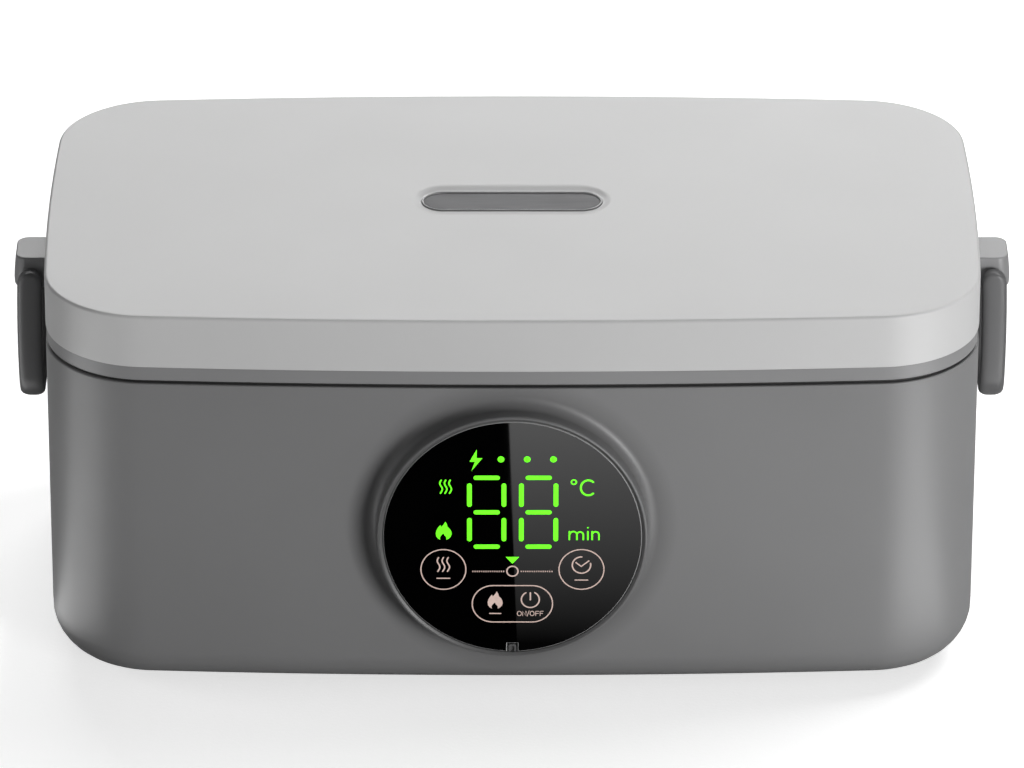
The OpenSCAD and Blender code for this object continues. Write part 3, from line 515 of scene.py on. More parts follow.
def grown(name, group, points, edges=(), crease=35.0, along=(), **sizes):
    """Runs a node group over a path or points in mm, and returns the plain mesh object it makes.
    Where along is given, each point carries that direction."""
    seed = bpy.data.meshes.new(name + "_seed")
    seed.from_pydata([(x * MM, y * MM, z * MM) for x, y, z in points], list(edges), [])
    if along:
        seed.attributes.new("along", "FLOAT_VECTOR", "POINT").data.foreach_set("vector", along * len(points))
    thing = bpy.data.objects.new(name, seed)
    scene.collection.objects.link(thing)
    shape = thing.modifiers.new("shape", "NODES")
    shape.node_group = group
    for item in group.interface.items_tree:
        if item.in_out == "INPUT" and item.name in sizes:
            shape[item.identifier] = float(sizes[item.name]) * MM
    mesh = bpy.data.meshes.new_from_object(thing.evaluated_get(bpy.context.evaluated_depsgraph_get()))
    thing.modifiers.remove(shape)
    thing.data = mesh
    bpy.data.meshes.remove(seed)
    mesh.set_sharp_from_angle(angle=radians(crease))
    return thing


def worn_metal(name, dark, light, rough, scale=(1.0, 1.0, 1.0), grain=900.0, depth=0.000004, metallic=1.0,
               specular=0.5):
    """Metal with a drawn or ground grain along one axis and an uneven polish."""
    m, tree, shader, place = node_material(name)
    drawn = add(tree, "ShaderNodeMapping", {"Scale": scale, "Vector": place})
    fine = noise(tree, drawn, grain, 4.0, 0.6)
    feed(tree, shader, {
        "Base Color": tint(tree, noise(tree, place, 30.0, 3.0), dark, light),
        "Roughness": between(tree, fine, rough - 0.06, rough + 0.06),
        "Metallic": metallic, "Specular IOR Level": specular, "Normal": bump(tree, fine, depth)})
    return m


def pan_head_group(material):
    """Node group for screws: a head with a cross slot, a shank and a thread, aimed along an attribute."""
    g, size = new_group("pan_head_screw", "Head", "Height", "Shank", "Length")
    half_head, half_shank = times(g, size["Head"], 0.5), times(g, size["Shank"], 0.5)
    step_z, top_z = times(g, size["Height"], -0.35), times(g, size["Height"], -1.0)
    skirt = add(g, "GeometryNodeMeshCylinder",
                {"Vertices": 32, "Radius": half_head, "Depth": times(g, size["Height"], 0.35)})
    skirt = moved(g, skirt, times(g, step_z, 0.5))
    dome = add(g, "GeometryNodeMeshCone",
               {"Vertices": 32, "Radius Top": times(g, size["Head"], 0.38), "Radius Bottom": half_head,
                "Depth": times(g, size["Height"], 0.65)})
    dome = moved(g, dome, step_z, Rotation=(pi, 0.0, 0.0))
    bar_size = add(g, "ShaderNodeCombineXYZ",
                   {"X": times(g, size["Head"], 0.55), "Y": times(g, size["Head"], 0.13),
                    "Z": times(g, size["Height"], 1.2)})
    bar = add(g, "GeometryNodeMeshCube", {"Size": bar_size})
    cross = [moved(g, bar, top_z, Rotation=(0.0, 0.0, turn)) for turn in (0.0, pi / 2)]
    dome = add(g, "GeometryNodeMeshBoolean", {"Mesh 1": dome, "Mesh 2": cross},
               operation="DIFFERENCE", solver="EXACT")
    shank = add(g, "GeometryNodeMeshCylinder",
                {"Vertices": 20, "Radius": half_shank, "Depth": size["Length"]})
    shank = moved(g, shank, times(g, size["Length"], 0.5), Scale=(0.86, 0.86, 1.0))
    thread = add(g, "GeometryNodeCurveSpiral",
                 {"Resolution": 14, "Rotations": times(g, size["Length"], 1300.0),
                  "Start Radius": half_shank, "End Radius": half_shank,
                  "Height": times(g, size["Length"], 0.96)})
    ridge = add(g, "GeometryNodeCurvePrimitiveCircle", {"Resolution": 3, "Radius": 0.00018})
    thread = add(g, "GeometryNodeCurveToMesh",
                 {"Curve": thread, "Profile Curve": ridge, "Fill Caps": True})
    thread = add(g, "GeometryNodeTransform", {"Geometry": thread, "Scale": (0.9, 0.9, 1.0)})
    whole = add(g, "GeometryNodeJoinGeometry", {"Geometry": [skirt, dome, shank, thread]})
    aim = add(g, "GeometryNodeInputNamedAttribute", {"Name": "along"}, data_type="FLOAT_VECTOR")
    tilt = add(g, "FunctionNodeAlignRotationToVector", {"Vector": aim}, axis="Z")
    placed = add(g, "GeometryNodeInstanceOnPoints",
                 {"Points": size["Mesh"], "Instance": whole, "Rotation": tilt})
    close_group(g, placed, material)
    return g


screw_steel = worn_metal("screw_steel", (0.55, 0.55, 0.56), (0.63, 0.63, 0.64), 0.28)
screw_group = pan_head_group(screw_steel)


def screws(node, body, places, along, head, height, shank, length):
    """One set of screws, each at the middle of its head's underside, pointing along a direction."""
    thing = grown(node + "_set", screw_group, places, crease=30.0, along=along,
                  Head=head, Height=height, Shank=shank, Length=length)
    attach(thing, body)
    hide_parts(node)


def corners(x, y):
    """The four places at x and y from the outline's middle."""
    return [(i * x, BACK + j * y) for i in (-1, 1) for j in (-1, 1)]


screws("base_screws", "base", [(x, y, BASE_Z + 1.4) for x, y in corners(CX, CY)], (0, 0, 1),
       5.4, 1.4, 2.9, 8.8)
screws("board_screws", "base", [(x - 24.0, y + 4.0, 11.0) for x, y in corners(51.0, 26.0)], (0, 0, -1),
       3.9, 1.2, 2.1, 5.4)
screws("heater_screws", "base", [(x, y, 25.4) for x, y in corners(80.0, 32.0)], (0, 0, 1),
       5.4, 1.4, 2.9, 7.4)
screws("display_screws", "base", [(x, PANEL_Y + 7.9, z) for x, z in display_posts], (0, -1, 0),
       3.9, 1.2, 2.1, 4.5)
LID_POST = 18.6
lid_posts = corners(CX + LID_POST * cos(pi / 4), CY + LID_POST * sin(pi / 4))
lid_posts += [(0.0, BACK - 59.3), (0.0, BACK + 59.3)]
screws("lid_screws", "lid", [(x, y, 91.4) for x, y in lid_posts], (0, 0, 1), 5.1, 1.2, 2.9, 7.9)

rubber = moulded("foot_rubber", grey(0.018), grey(0.028), 0.75, 1200.0, 0.00006)
section = [(0.5, 0.45), (2.0, 0.45), (2.2, 0.2), (3.2, 0.2), (3.4, 0.45), (4.4, 0.45), (4.7, 0.0),
           (7.3, 0.0), (7.7, 0.12), (7.95, 0.45), (8.0, 0.9), (8.0, 3.0)]
bm = bmesh.new()
for x, y in corners(CX - 22.0, CY - 2.0):
    skin(bm, [circle(x, y, r, z, 48) for r, z in section], capped=True)
feet = finished(bm, "rubber_feet", rubber)
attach(feet, "base")
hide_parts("feet")

# Electronics in the bay
# The green power board with its relay, transformer, capacitors and terminals, under a pressed heat
# shield with the heater stack over it: cast plate, foil heater, clamp, thermostat, sensor and fuse.


def laminate(name, dark, light, rough):
    """Glass-fibre board: lacquer over a woven cloth, with a faint cloud of colour."""
    m, tree, shader, place = node_material(name)
    weave = add(tree, "ShaderNodeTexWave", {"Scale": 260.0, "Distortion": 1.5, "Vector": place}, "Fac")
    feed(tree, shader, {
        "Base Color": tint(tree, noise(tree, place, 130.0, 1.0), dark, light),
        "Roughness": between(tree, noise(tree, place, 300.0), rough - 0.05, rough + 0.08),
        "Normal": bump(tree, weave, 0.00002)})
    return m


board_green = laminate("board_laminate", (0.012, 0.09, 0.03), (0.03, 0.16, 0.06), 0.3)
part_blue = moulded("relay_plastic", (0.02, 0.13, 0.38), (0.03, 0.16, 0.44), 0.35)
part_yellow = moulded("coil_tape", (0.62, 0.42, 0.06), (0.7, 0.49, 0.08), 0.4, 700.0, 0.00003)
part_black = moulded("part_black_plastic", (0.012, 0.013, 0.016), (0.022, 0.023, 0.026), 0.3)
part_white = moulded("terminal_plastic", (0.66, 0.66, 0.63), (0.73, 0.73, 0.7), 0.4)
part_brown = moulded("thermostat_phenolic", (0.09, 0.045, 0.025), (0.13, 0.065, 0.035), 0.45)
contact_steel = worn_metal("contact_steel", (0.6, 0.6, 0.6), (0.68, 0.68, 0.67), 0.2, (1.0, 0.2, 1.0))
shield_steel = worn_metal("shield_steel", (0.42, 0.43, 0.44), (0.5, 0.51, 0.52), 0.38, (0.1, 1.0, 1.0))
cast_alloy = worn_metal("cast_aluminium", (0.5, 0.51, 0.52), (0.6, 0.61, 0.62), 0.5,
                        grain=2200.0, depth=0.00003)
foil, tree, shader, place = node_material("heater_foil")
tracks = add(tree, "ShaderNodeTexWave", {"Scale": 40.0, "Distortion": 0.4, "Vector": place}, "Fac")
feed(tree, shader, {
    "Base Color": tint(tree, tracks, (0.32, 0.17, 0.05), (0.5, 0.3, 0.1)),
    "Roughness": 0.3, "Normal": bump(tree, tracks, 0.00006)})
for node, material in (
        ("power_board", board_green), ("display_board", board_green), ("relay", part_blue),
        ("transformer", part_yellow), ("capacitors", part_black), ("wire_terminals", part_white),
        ("thermostat", part_brown), ("thermal_fuse", part_white), ("digit_module", part_white),
        ("temperature_sensor", contact_steel), ("touch_springs", contact_steel),
        ("shield_spacers", contact_steel), ("heat_shield", shield_steel), ("film_clamp", shield_steel),
        ("heater_plate", cast_alloy), ("heating_film", foil)):
    finish_node(node, material)

# Inlet
# The black two-pin mains inlet in the back: a moulded block with a pill-shaped mouth and two round
# plated pins, pressed through the shell's window.
finish_node("inlet_socket", moulded("inlet_plastic", (0.014, 0.014, 0.015), (0.024, 0.024, 0.025), 0.42))
finish_node("inlet_pins", contact_steel)

# Heating tub and collar
# The tub that takes the food container, deep-drawn from aluminium sheet with a soft matt finish; its
# flange lies in the rebate of a white plastic collar just inside the shell's rim.
tub_metal = worn_metal("tub_aluminium", (0.42, 0.425, 0.43), (0.47, 0.475, 0.48), 0.42,
                       (1.0, 1.0, 0.15), 1500.0, 0.00001)


def rolled_foot(radius, inset, z, steps=10):
    """Rings up a rounded bottom edge into a wall."""
    return [(inset + radius * (1 - sin(t)), z + radius * (1 - cos(t)))
            for t in (pi / 2 * k / steps for k in range(steps + 1))]


section = rolled_foot(8.0, 7.0, 34.0)
section += [(7.0, 86.9), (6.9, 87.2), (4.7, 87.2), (4.6, 87.3), (4.6, 87.9), (4.7, RIM_Z), (7.2, RIM_Z),
            (7.6, 87.9), (7.9, 87.6), (8.0, 87.2)] + rolled_foot(7.0, 8.0, 35.0)[::-1]
tub = lofted("drawn_tub", tub_metal, [ring(*p) for p in section], capped=True)
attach(tub, "base")
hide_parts("heating_tub")

collar_white = moulded("collar_plastic", (0.62, 0.62, 0.61), (0.67, 0.67, 0.66), 0.42)
section = [(2.65, SEAT_TOP), (2.65, 87.8), (2.85, RIM_Z), (4.2, RIM_Z), (4.4, 87.8), (4.4, 87.2),
           (6.75, 87.2), (6.75, SEAT_TOP)]
collar = lofted("collar_ring", collar_white, [ring(*p) for p in section], 30.0, close=True)
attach(collar, "base")
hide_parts("top_collar")

# Display glass
# A black back-printed glass disc let into the boss, with a ground edge and a notch at its foot for
# the shell's key. Polished, with the faintest waviness.
glass_black, tree, shader, place = node_material("panel_glass")
feed(tree, shader, {
    "Base Color": tint(tree, noise(tree, place, 20.0), (0.0004, 0.0004, 0.0005), (0.0007, 0.0007, 0.0008)),
    "Roughness": between(tree, noise(tree, place, 60.0), 0.02, 0.035), "IOR": 1.5,
    "Normal": bump(tree, noise(tree, place, 25.0, 0.0), 0.00001, 0.3)})

NOTCH_HALF, NOTCH_H = 1.3, 2.35
notch = asin(NOTCH_HALF / GLASS_R)
sweep = [-pi / 2 + notch + (2 * pi - 2 * notch) * k / 180 for k in range(181)]


def glass_outline(inset):
    """Outline of the disc with its notch, drawn in by inset, as (x, z) points."""
    r = GLASS_R - inset
    rim = [(r * cos(a), DISC_Z + r * sin(a)) for a in sweep]
    top = DISC_Z - GLASS_R + NOTCH_H + inset
    x = NOTCH_HALF + inset
    return [(x, rim[0][1])] + rim[1:-1] + [(-x, rim[-1][1]), (-x, top), (x, top)]


layers = [(0.04, 1.58), (0.04, 0.35), (0.26, 0.13), (0.26, 0.0), (0.6, 0.0)]
glass = lofted("glass_disc", glass_black,
               [[(x, PANEL_Y + y, z) for x, z in glass_outline(d)] for d, y in layers], capped=True)
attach(glass, "base")
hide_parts("display_glass")

ground_edge = moulded("glass_ground_edge", grey(0.3), grey(0.36), 0.25, 1500.0, 0.00001)
layers = [(0.0, 1.6), (0.0, 0.28), (0.1, 0.1), (0.24, 0.0), (0.27, 0.03), (0.27, 0.15), (0.05, 0.37),
          (0.05, 1.6)]
edge_band = lofted("glass_edge", ground_edge,
                   [[(x, PANEL_Y + y, z) for x, z in glass_outline(d)] for d, y in layers], close=True)
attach(edge_band, "base")

# Signs on the glass
# Lit green segments, dots and symbols, and the pale printed touch keys, each a thin layer on the
# glass. Strokes follow their paths at an even width with round ends; filled signs are flat shapes.


def lit(name, colour, strength):
    """Layer that glows a little unevenly, as a light guide does."""
    m, tree, shader, place = node_material(name)
    feed(tree, shader, {
        "Emission Color": tint(tree, noise(tree, place, 500.0), tuple(0.92 * c for c in colour), colour),
        "Emission Strength": strength,
        "Base Color": tint(tree, noise(tree, place, 700.0), tuple(0.8 * c for c in colour), colour),
        "Roughness": 0.4})
    return m


green = lit("lit_green", (0.13, 0.95, 0.01), 0.9)
print_pink = lit("printed_pale", (0.6, 0.45, 0.4), 0.35)


def stroke_group(name, material):
    """Node group that draws every edge path as a flat, round-ended stroke on the glass."""
    g, size = new_group(name, "Width")
    half = times(g, size["Width"], 0.5)
    path = add(g, "GeometryNodeMeshToCurve", {"Mesh": size["Mesh"]})
    round_bar = add(g, "GeometryNodeCurvePrimitiveCircle", {"Resolution": 12, "Radius": half})
    line = add(g, "GeometryNodeCurveToMesh", {"Curve": path, "Profile Curve": round_bar, "Fill Caps": True})
    ball = add(g, "GeometryNodeMeshUVSphere", {"Segments": 16, "Rings": 8, "Radius": half})
    tips = add(g, "GeometryNodeCurveEndpointSelection", {"Start Size": 1, "End Size": 1})
    ends = add(g, "GeometryNodeInstanceOnPoints",
               {"Points": path, "Instance": ball, "Rotation": (pi / 2, 0.0, 0.0), "Selection": tips})
    whole = add(g, "GeometryNodeJoinGeometry", {"Geometry": [line, ends]})
    whole = add(g, "GeometryNodeRealizeInstances", {"Geometry": whole})
    here = add(g, "ShaderNodeSeparateXYZ", {"Vector": add(g, "GeometryNodeInputPosition")}, 1)
    off = add(g, "ShaderNodeMath", {0: here, 1: PANEL_Y * MM}, operation="SUBTRACT")
    flat = times(g, off, -0.97)
    pressed = add(g, "GeometryNodeSetPosition",
                  {"Geometry": whole, "Offset": add(g, "ShaderNodeCombineXYZ", {"Y": flat})})
    close_group(g, pressed, material)
    return g


def strokes(name, group, width, paths):
    """One object from many paths of (x, z) points about the display's centre."""
    points, edges = [], []
    for path in paths:
        edges += [(len(points) + k, len(points) + k + 1) for k in range(len(path) - 1)]
        points += [(x, PANEL_Y, DISC_Z + z) for x, z in path]
    return grown(name, group, points, edges, Width=width)


def arc(x, z, r, a0, a1, steps=24, squash=1.0):
    """Arc about a point from one angle in degrees to another, with its height squashed."""
    return [(x + r * cos(radians(a)), z + r * squash * sin(radians(a)))
            for a in (a0 + (a1 - a0) * k / steps for k in range(steps + 1))]


def steam(x, z, height):
    """Three rising waves about a centre."""
    step = height * 0.31
    return [[(x + i * step + 0.085 * height * sin(2 * pi * 1.1 * t - 0.6), z + height * (t - 0.5))
             for t in (k / 14 for k in range(15))] for i in (-1, 0, 1)]


def layer(name, material, shapes):
    """Filled flat signs from closed outlines of (x, z) points about the display's centre."""
    bm = bmesh.new()
    for shape in shapes:
        prism(bm, [(x, DISC_Z + z) for x, z in shape], PANEL_Y + 0.02, PANEL_Y - 0.02)
    return finished(bm, name, material)


def flame(x, z, height):
    """Flame with a small hollow at its foot, in units of its height."""
    shape = [(0.08, 0.52), (0.02, 0.4), (-0.08, 0.27), (-0.12, 0.22), (-0.17, 0.33), (-0.27, 0.2),
             (-0.35, 0.05), (-0.39, -0.12), (-0.37, -0.28), (-0.29, -0.4), (-0.17, -0.48), (-0.19, -0.38),
             (-0.16, -0.28), (-0.08, -0.18), (-0.01, -0.12), (0.03, -0.24), (0.08, -0.28), (0.13, -0.36),
             (0.12, -0.48), (0.24, -0.42), (0.33, -0.32), (0.38, -0.18), (0.37, -0.03), (0.31, 0.1),
             (0.24, 0.18), (0.18, 0.24), (0.16, 0.36)]
    return [(x + height * a, z + height * b) for a, b in shape]


# Paths and outlines, in mm from the display's centre
segments = []
for x in (-6.45, 6.5):
    segments += [[(x + a, z) for a in (-2.68, 2.68)] for z in (16.8, 7.12, -2.55)]
    segments += [[(x + a, z + 2.7), (x + a, z - 2.7)] for a in (-4.3, 4.3) for z in (11.95, 2.25)]
dots = [[(x, 21.95), (x + 0.01, 21.95)] for x in (-2.9, 3.62, 10.14)]
minutes = [[(14.35, -0.55), (14.35, 1.7)], arc(15.4, 0.75, 0.95, 165, 0) + [(16.35, -0.55)],
           arc(17.2, 0.75, 0.85, 165, 0) + [(18.05, -0.55)], [(19.25, -0.55), (19.25, 1.7)],
           [(19.25, 2.8), (19.26, 2.8)], [(20.4, -0.55), (20.4, 1.7)],
           arc(21.3, 0.75, 0.9, 165, 0) + [(22.2, -0.55)]]
minutes = [[(14.2 + (x - 14.35) * 0.94, z) for x, z in path] for path in minutes]
green_strokes, pale_strokes = stroke_group("green_stroke", green), stroke_group("pale_stroke", print_pink)
degree = [arc(15.25, 15.6, 0.62, 0, 360)]
celsius = [arc(18.85, 14.0, 1.86, 50, 310, 28, 1.13)]
KEY_X, PILL_X, PILL_Z, PILL_R = 17.27, 4.9, -18.75, 5.17
key_rings = [arc(x, -9.0, 5.62, 0, 360, 72) for x in (-KEY_X, KEY_X)]
pill_ring = [[(-PILL_X, PILL_Z + PILL_R), (PILL_X, PILL_Z + PILL_R)]
             + arc(PILL_X, PILL_Z, PILL_R, 90, -90, 32)
             + [(PILL_X, PILL_Z - PILL_R), (-PILL_X, PILL_Z - PILL_R)]
             + arc(-PILL_X, PILL_Z, PILL_R, -90, -270, 32)]
clock = [arc(KEY_X, -7.75, 2.3, 12, -272, 40), [(15.9, -7.05), (17.2, -8.15), (19.1, -6.6)]]
power = [arc(4.5, -17.55, 2.25, 60, -240, 40), [(4.5, -15.6), (4.5, -17.6)]]
glyphs = {
    "O": [arc(0.0, 0.0, 0.52, 0, 360, 24, 1.22)],
    "N": [[(-0.42, -0.62), (-0.42, 0.62), (0.42, -0.62), (0.42, 0.62)]],
    "/": [[(-0.25, -0.75), (0.25, 0.75)]],
    "F": [[(-0.4, -0.62), (-0.4, 0.62), (0.38, 0.62)], [(-0.4, 0.02), (0.26, 0.02)]],
}
SWITCH_Z = -21.5
switch_words = [[(x + dx, SWITCH_Z + dz) for dx, dz in path]
                for glyph, x in (("O", 1.75), ("N", 3.0), ("/", 3.95), ("O", 4.95), ("F", 6.25), ("F", 7.35))
                for path in glyphs[glyph]]
marks = [[(x - a, z), (x + a, z)]
         for x, z, a in ((-KEY_X, -11.5, 1.6), (KEY_X, -12.0, 1.6), (-4.3, SWITCH_Z, 1.4))]
ticks = [[(s * (2.2 + 0.55 * k), -9.64), (s * (2.2 + 0.55 * k), -9.46)] for s in (-1, 1) for k in range(15)]
signs = [
    strokes("lit_segments", green_strokes, 1.2, segments),
    strokes("lit_dots", green_strokes, 1.7, dots),
    strokes("lit_unit_minutes", green_strokes, 0.4, minutes),
    strokes("lit_unit_celsius", green_strokes, 0.5, celsius),
    strokes("lit_degree", green_strokes, 0.36, degree),
    strokes("lit_steam", green_strokes, 0.38, steam(-16.65, 14.3, 3.65)),
    layer("lit_flame", green, [flame(-17.15, 1.85, 5.1)]),
    layer("lit_bolt", green,
          [[(-8.9, 24.7), (-10.7, 21.3), (-9.35, 21.3), (-10.25, 18.7), (-7.5, 22.3), (-8.95, 22.3)]]),
    layer("lit_pointer", green, [[(-1.68, -5.45), (1.68, -5.45), (0.0, -7.35)]]),
    strokes("key_outlines", pale_strokes, 0.3, key_rings + pill_ring),
    strokes("key_symbols", pale_strokes, 0.36,
            clock + power + steam(-KEY_X, -7.6, 3.9) + [arc(0.0, -9.5, 1.4, 0, 360)]),
    strokes("key_marks", pale_strokes, 0.3, marks),
    strokes("key_switch_words", pale_strokes, 0.18, switch_words),
    strokes("key_dotted_lines", pale_strokes, 0.28, ticks),
    layer("key_flame", print_pink, [flame(-4.3, -17.75, 4.9)]),
]
for sign in signs:
    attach(sign, "base")

# Lid cover
# The light top of the lid: a flat-topped cap with a crisp edge, and a soft dish just behind its
# middle that holds the plaque. Satin light-grey plastic, moulded in one piece.
LID_TOP, COVER_Z, PLAQUE_Y = 106.5, 92.5, 3.2
lid_grey = moulded("lid_plastic", grey(0.545), grey(0.56), 0.45, depth=0.000008, spread=0.008)


def pill(length, width, z):
    """Pill-shaped ring with as many points as the outline, so that the two join in clean quads."""
    r, flat = width / 2, (length - width) / 2
    bend = ENDS + TURN
    quarter = [(flat + r * cos(pi / 2 * k / bend), r * sin(pi / 2 * k / bend)) for k in range(bend + 1)]
    quarter += [(flat * (1 - k / SIDE), r) for k in range(1, SIDE + 1)]
    half = quarter + [(-x, y) for x, y in quarter[-2::-1]]
    return [(x, y + BACK + PLAQUE_Y, z) for x, y in half + [(-x, -y) for x, y in half[1:-1]]]


bm = bmesh.new()
DISH_L, DISH_W, DISH_DEPTH, EDGE_R, STEPS = 46.3, 11.3, 0.6, 0.8, 12
rings = [pill(46.2, 11.2, LID_TOP - 1.4), pill(46.2, 11.2, LID_TOP - 0.7),
         pill(DISH_L, DISH_W, LID_TOP - DISH_DEPTH)]
for s in (k / STEPS for k in range(1, STEPS + 1)):
    rings.append(pill(DISH_L + 4.8 * s, DISH_W + 7.4 * s, LID_TOP - DISH_DEPTH * (0.5 + 0.5 * cos(pi * s))))
rings += [pill(54.0, 23.0, LID_TOP), pill(64.0, 33.0, LID_TOP), ring(12.0, LID_TOP), ring(2.4, LID_TOP)]
rings += [ring(EDGE_R * (1 - cos(t)), LID_TOP - EDGE_R * (1 - sin(t)))
          for t in map(radians, range(90, -1, -15))]
section = [(0.0, LID_TOP - 1.4), (0.0, 99.0), (0.0, COVER_Z + 0.5), (0.05, COVER_Z + 0.1), (0.2, COVER_Z),
           (2.2, COVER_Z), (2.2, LID_TOP - 2.4)]
rings += [ring(*p) for p in section]
skin(bm, rings, capped=True)
section = [(1.55, 101.0), (1.55, COVER_Z), (3.0, COVER_Z), (3.0, LID_TOP - 2.0)]
for x, y in lid_posts:
    skin(bm, [circle(x, y, r, z, 24) for r, z in section], capped=True)
lid_cover = even(finished(bm, "lid_moulding", lid_grey))
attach(lid_cover, "lid")
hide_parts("lid_cover")

# Plaque
# A bare gunmetal plate with a thin raised rim, let into the lid's dish. Satin metallic finish with a fine
# grain along its length. The rim's lighter colour is a painted highlight.
ALONG_X = (0.08, 1.0, 1.0)
plate_metal = worn_metal("plaque_metal", (0.075, 0.075, 0.078), (0.09, 0.09, 0.094), 0.5, ALONG_X, 1600.0,
                         0.000006, metallic=0.3, specular=0.2)
# Painted highlight: the rim is coloured much lighter than the plate, standing in for the light it catches.
rim_highlight_metal = worn_metal("plaque_rim_painted_highlight", (0.3, 0.3, 0.305), (0.36, 0.36, 0.365), 0.4, ALONG_X, 1600.0,
                       metallic=0.3)


def plaque_rings(section):
    """Rings from steps of length, width and depth below the lid's top."""
    return [pill(length, width, LID_TOP - depth) for length, width, depth in section]


plate = lofted("plaque_plate", plate_metal, plaque_rings(
    [(44.88, 9.88, 1.3), (44.88, 9.88, 0.62), (44.7, 9.7, 0.57), (43.0, 8.0, 0.57)]), capped=True)
plate_rim = lofted("plaque_rim", rim_highlight_metal, plaque_rings(
    [(44.9, 9.9, 1.35), (46.0, 11.0, 1.35), (46.0, 11.0, 0.5), (45.94, 10.94, 0.32),
     (45.75, 10.75, 0.24), (45.4, 10.4, 0.24), (45.1, 10.1, 0.34), (44.9, 9.9, 0.55)]), close=True)
for piece in (plate, plate_rim):
    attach(piece, "lid")
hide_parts("lid_badge")

# Lid frame
# The mid-grey ring under the cover, whose edge shows as a band, with a block-shaped ear at each end
# that carries a latch. Moulded in one piece with the locating lip that the cover fits over.
frame_grey = moulded("frame_plastic", (0.225, 0.225, 0.228), (0.245, 0.245, 0.248), 0.42)
bm = bmesh.new()
FRAME_Z = 88.8
section = [(0.5, FRAME_Z), (0.35, 88.95), (0.35, 92.35), (0.5, COVER_Z), (2.4, COVER_Z), (2.4, 95.3),
           (2.6, 95.5), (3.6, 95.5), (3.8, 95.3), (3.8, COVER_Z), (11.0, COVER_Z), (11.0, 90.2),
           (5.0, 90.2), (5.0, FRAME_Z)]
skin(bm, [ring(*p) for p in section], close=True)
EAR, EAR_IN, EAR_OUT, EAR_R = 6.9, 118.3, 124.0, 3.0
plan = [(EAR_IN, -EAR), (EAR_OUT, -EAR)]
plan += [(EAR_OUT + EAR_R * sin(t), -EAR + EAR_R * (1 - cos(t)))
         for t in (pi / 2 * k / 10 for k in range(1, 11))]
plan += [(x, -y) for x, y in plan[::-1]]
layers = [(0.6, 86.3), (0.25, 86.42), (0.1, 86.8), (0.0, 88.5), (0.15, 91.0), (0.4, 93.6), (0.55, 94.3),
          (0.75, 94.52), (1.1, 94.6)]
for side in (-1, 1):
    rings = []
    for d, z in layers:
        drawn = d / (EAR_OUT + EAR_R - EAR_IN)
        rings.append([(side * (x - drawn * (x - EAR_IN)), BACK + y * (1 - d / EAR), z)
                      for x, y in plan][::side])
    skin(bm, rings, capped=True)
    x0, x1 = sorted((side * 114.0, side * 123.0))
    slab(bm, (x0, BACK - EAR + 0.5, FRAME_Z), (x1, BACK + EAR - 0.5, COVER_Z))
lid_frame = even(finished(bm, "frame_moulding", frame_grey, 30.0))
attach(lid_frame, "lid")
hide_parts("lid_frame")

# Liner, seals
# The pale inner plate of the lid with its drip rim, the black rubber seal that shows as the dark
# line under the band, and the clear silicone ring on the food container's lid.
section = [(11.4, FRAME_Z), (11.4, 87.1), (11.3, 87.0), (10.1, 87.0), (10.0, 87.1), (10.0, FRAME_Z),
           (5.45, FRAME_Z), (5.25, 89.0), (5.25, 90.2)]
liner = lofted("liner_plate", collar_white, [ring(*p) for p in section], 30.0, capped=True)
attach(liner, "lid")
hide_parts("lid_liner")

seal_rubber = moulded("seal_rubber", grey(0.006), grey(0.012), 0.6, 1500.0, 0.00003)
silicone, tree, shader, place = node_material("seal_silicone")
feed(tree, shader, {
    "Base Color": tint(tree, noise(tree, place, 25.0), (0.8, 0.81, 0.8), (0.86, 0.87, 0.86)),
    "Roughness": between(tree, noise(tree, place, 200.0), 0.3, 0.4),
    "Subsurface Weight": 0.3, "Subsurface Radius": grey(0.001)})


def gasket_group(name, material):
    """Node group that runs a rubber strip of rounded section along a closed path."""
    g, size = new_group(name, "Width", "Height", "Corner")
    flat = add(g, "GeometryNodeCurvePrimitiveQuadrilateral",
               {"Width": size["Width"], "Height": size["Height"]})
    soft = add(g, "GeometryNodeFilletCurve", {"Curve": flat, "Count": 3, "Radius": size["Corner"]},
               mode="POLY")
    path = add(g, "GeometryNodeMeshToCurve", {"Mesh": size["Mesh"]})
    path = add(g, "GeometryNodeSetCurveNormal", {"Curve": path}, mode="Z_UP")
    close_group(g, add(g, "GeometryNodeCurveToMesh", {"Curve": path, "Profile Curve": soft}), material)
    return g


def gasket(name, material, inset, z, width, height, corner):
    """Seal along the outline drawn in by inset, at a height."""
    loop = ring(inset, z)
    n = len(loop)
    return grown(name, gasket_group(name + "_strip", material), loop, [(k, (k + 1) % n) for k in range(n)],
                 Width=width, Height=height, Corner=corner)


lid_seal = gasket("rubber_seal", seal_rubber, 2.7, 88.4, 3.8, 0.8, 0.25)
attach(lid_seal, "lid")
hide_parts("lid_seal")
clear_seal = gasket("silicone_seal", silicone, 13.55, 82.0, 1.6, 1.8, 0.4)
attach(clear_seal, "container_lid")
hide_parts("container_seal")

# Latches
# A loop of flat bar at each end, hinged on a steel pin through the lid's ear; its crossbar snaps
# under the rib on the shell. Dark satin plastic with soft edges and round ends, bowed a little out.
latch_grey = moulded("latch_plastic", (0.095, 0.095, 0.097), (0.11, 0.11, 0.112), 0.42)
BAR_W, BAR_T, LIMB_Y, BEND_R = 6.4, 4.0, 9.2, 6.0
PIVOT_X, PIVOT_Z, BOW = 122.8, 89.1, 0.3
FALL = PIVOT_Z - CROSS_Z
half_loop = [(LIMB_Y, BAR_W / 2 * sin(t), 0.0, BAR_W / 2 * cos(t), BAR_T / 2 * (1 - 0.4 * sin(t) ** 8))
             for t in (radians(a) for a in (88, 83, 76, 68, 60, 50, 40, 30, 20, 10, 0))]
half_loop += [(LIMB_Y, -(FALL - BEND_R) * k / 8, 0.0, BAR_W / 2, BAR_T / 2) for k in range(1, 8)]
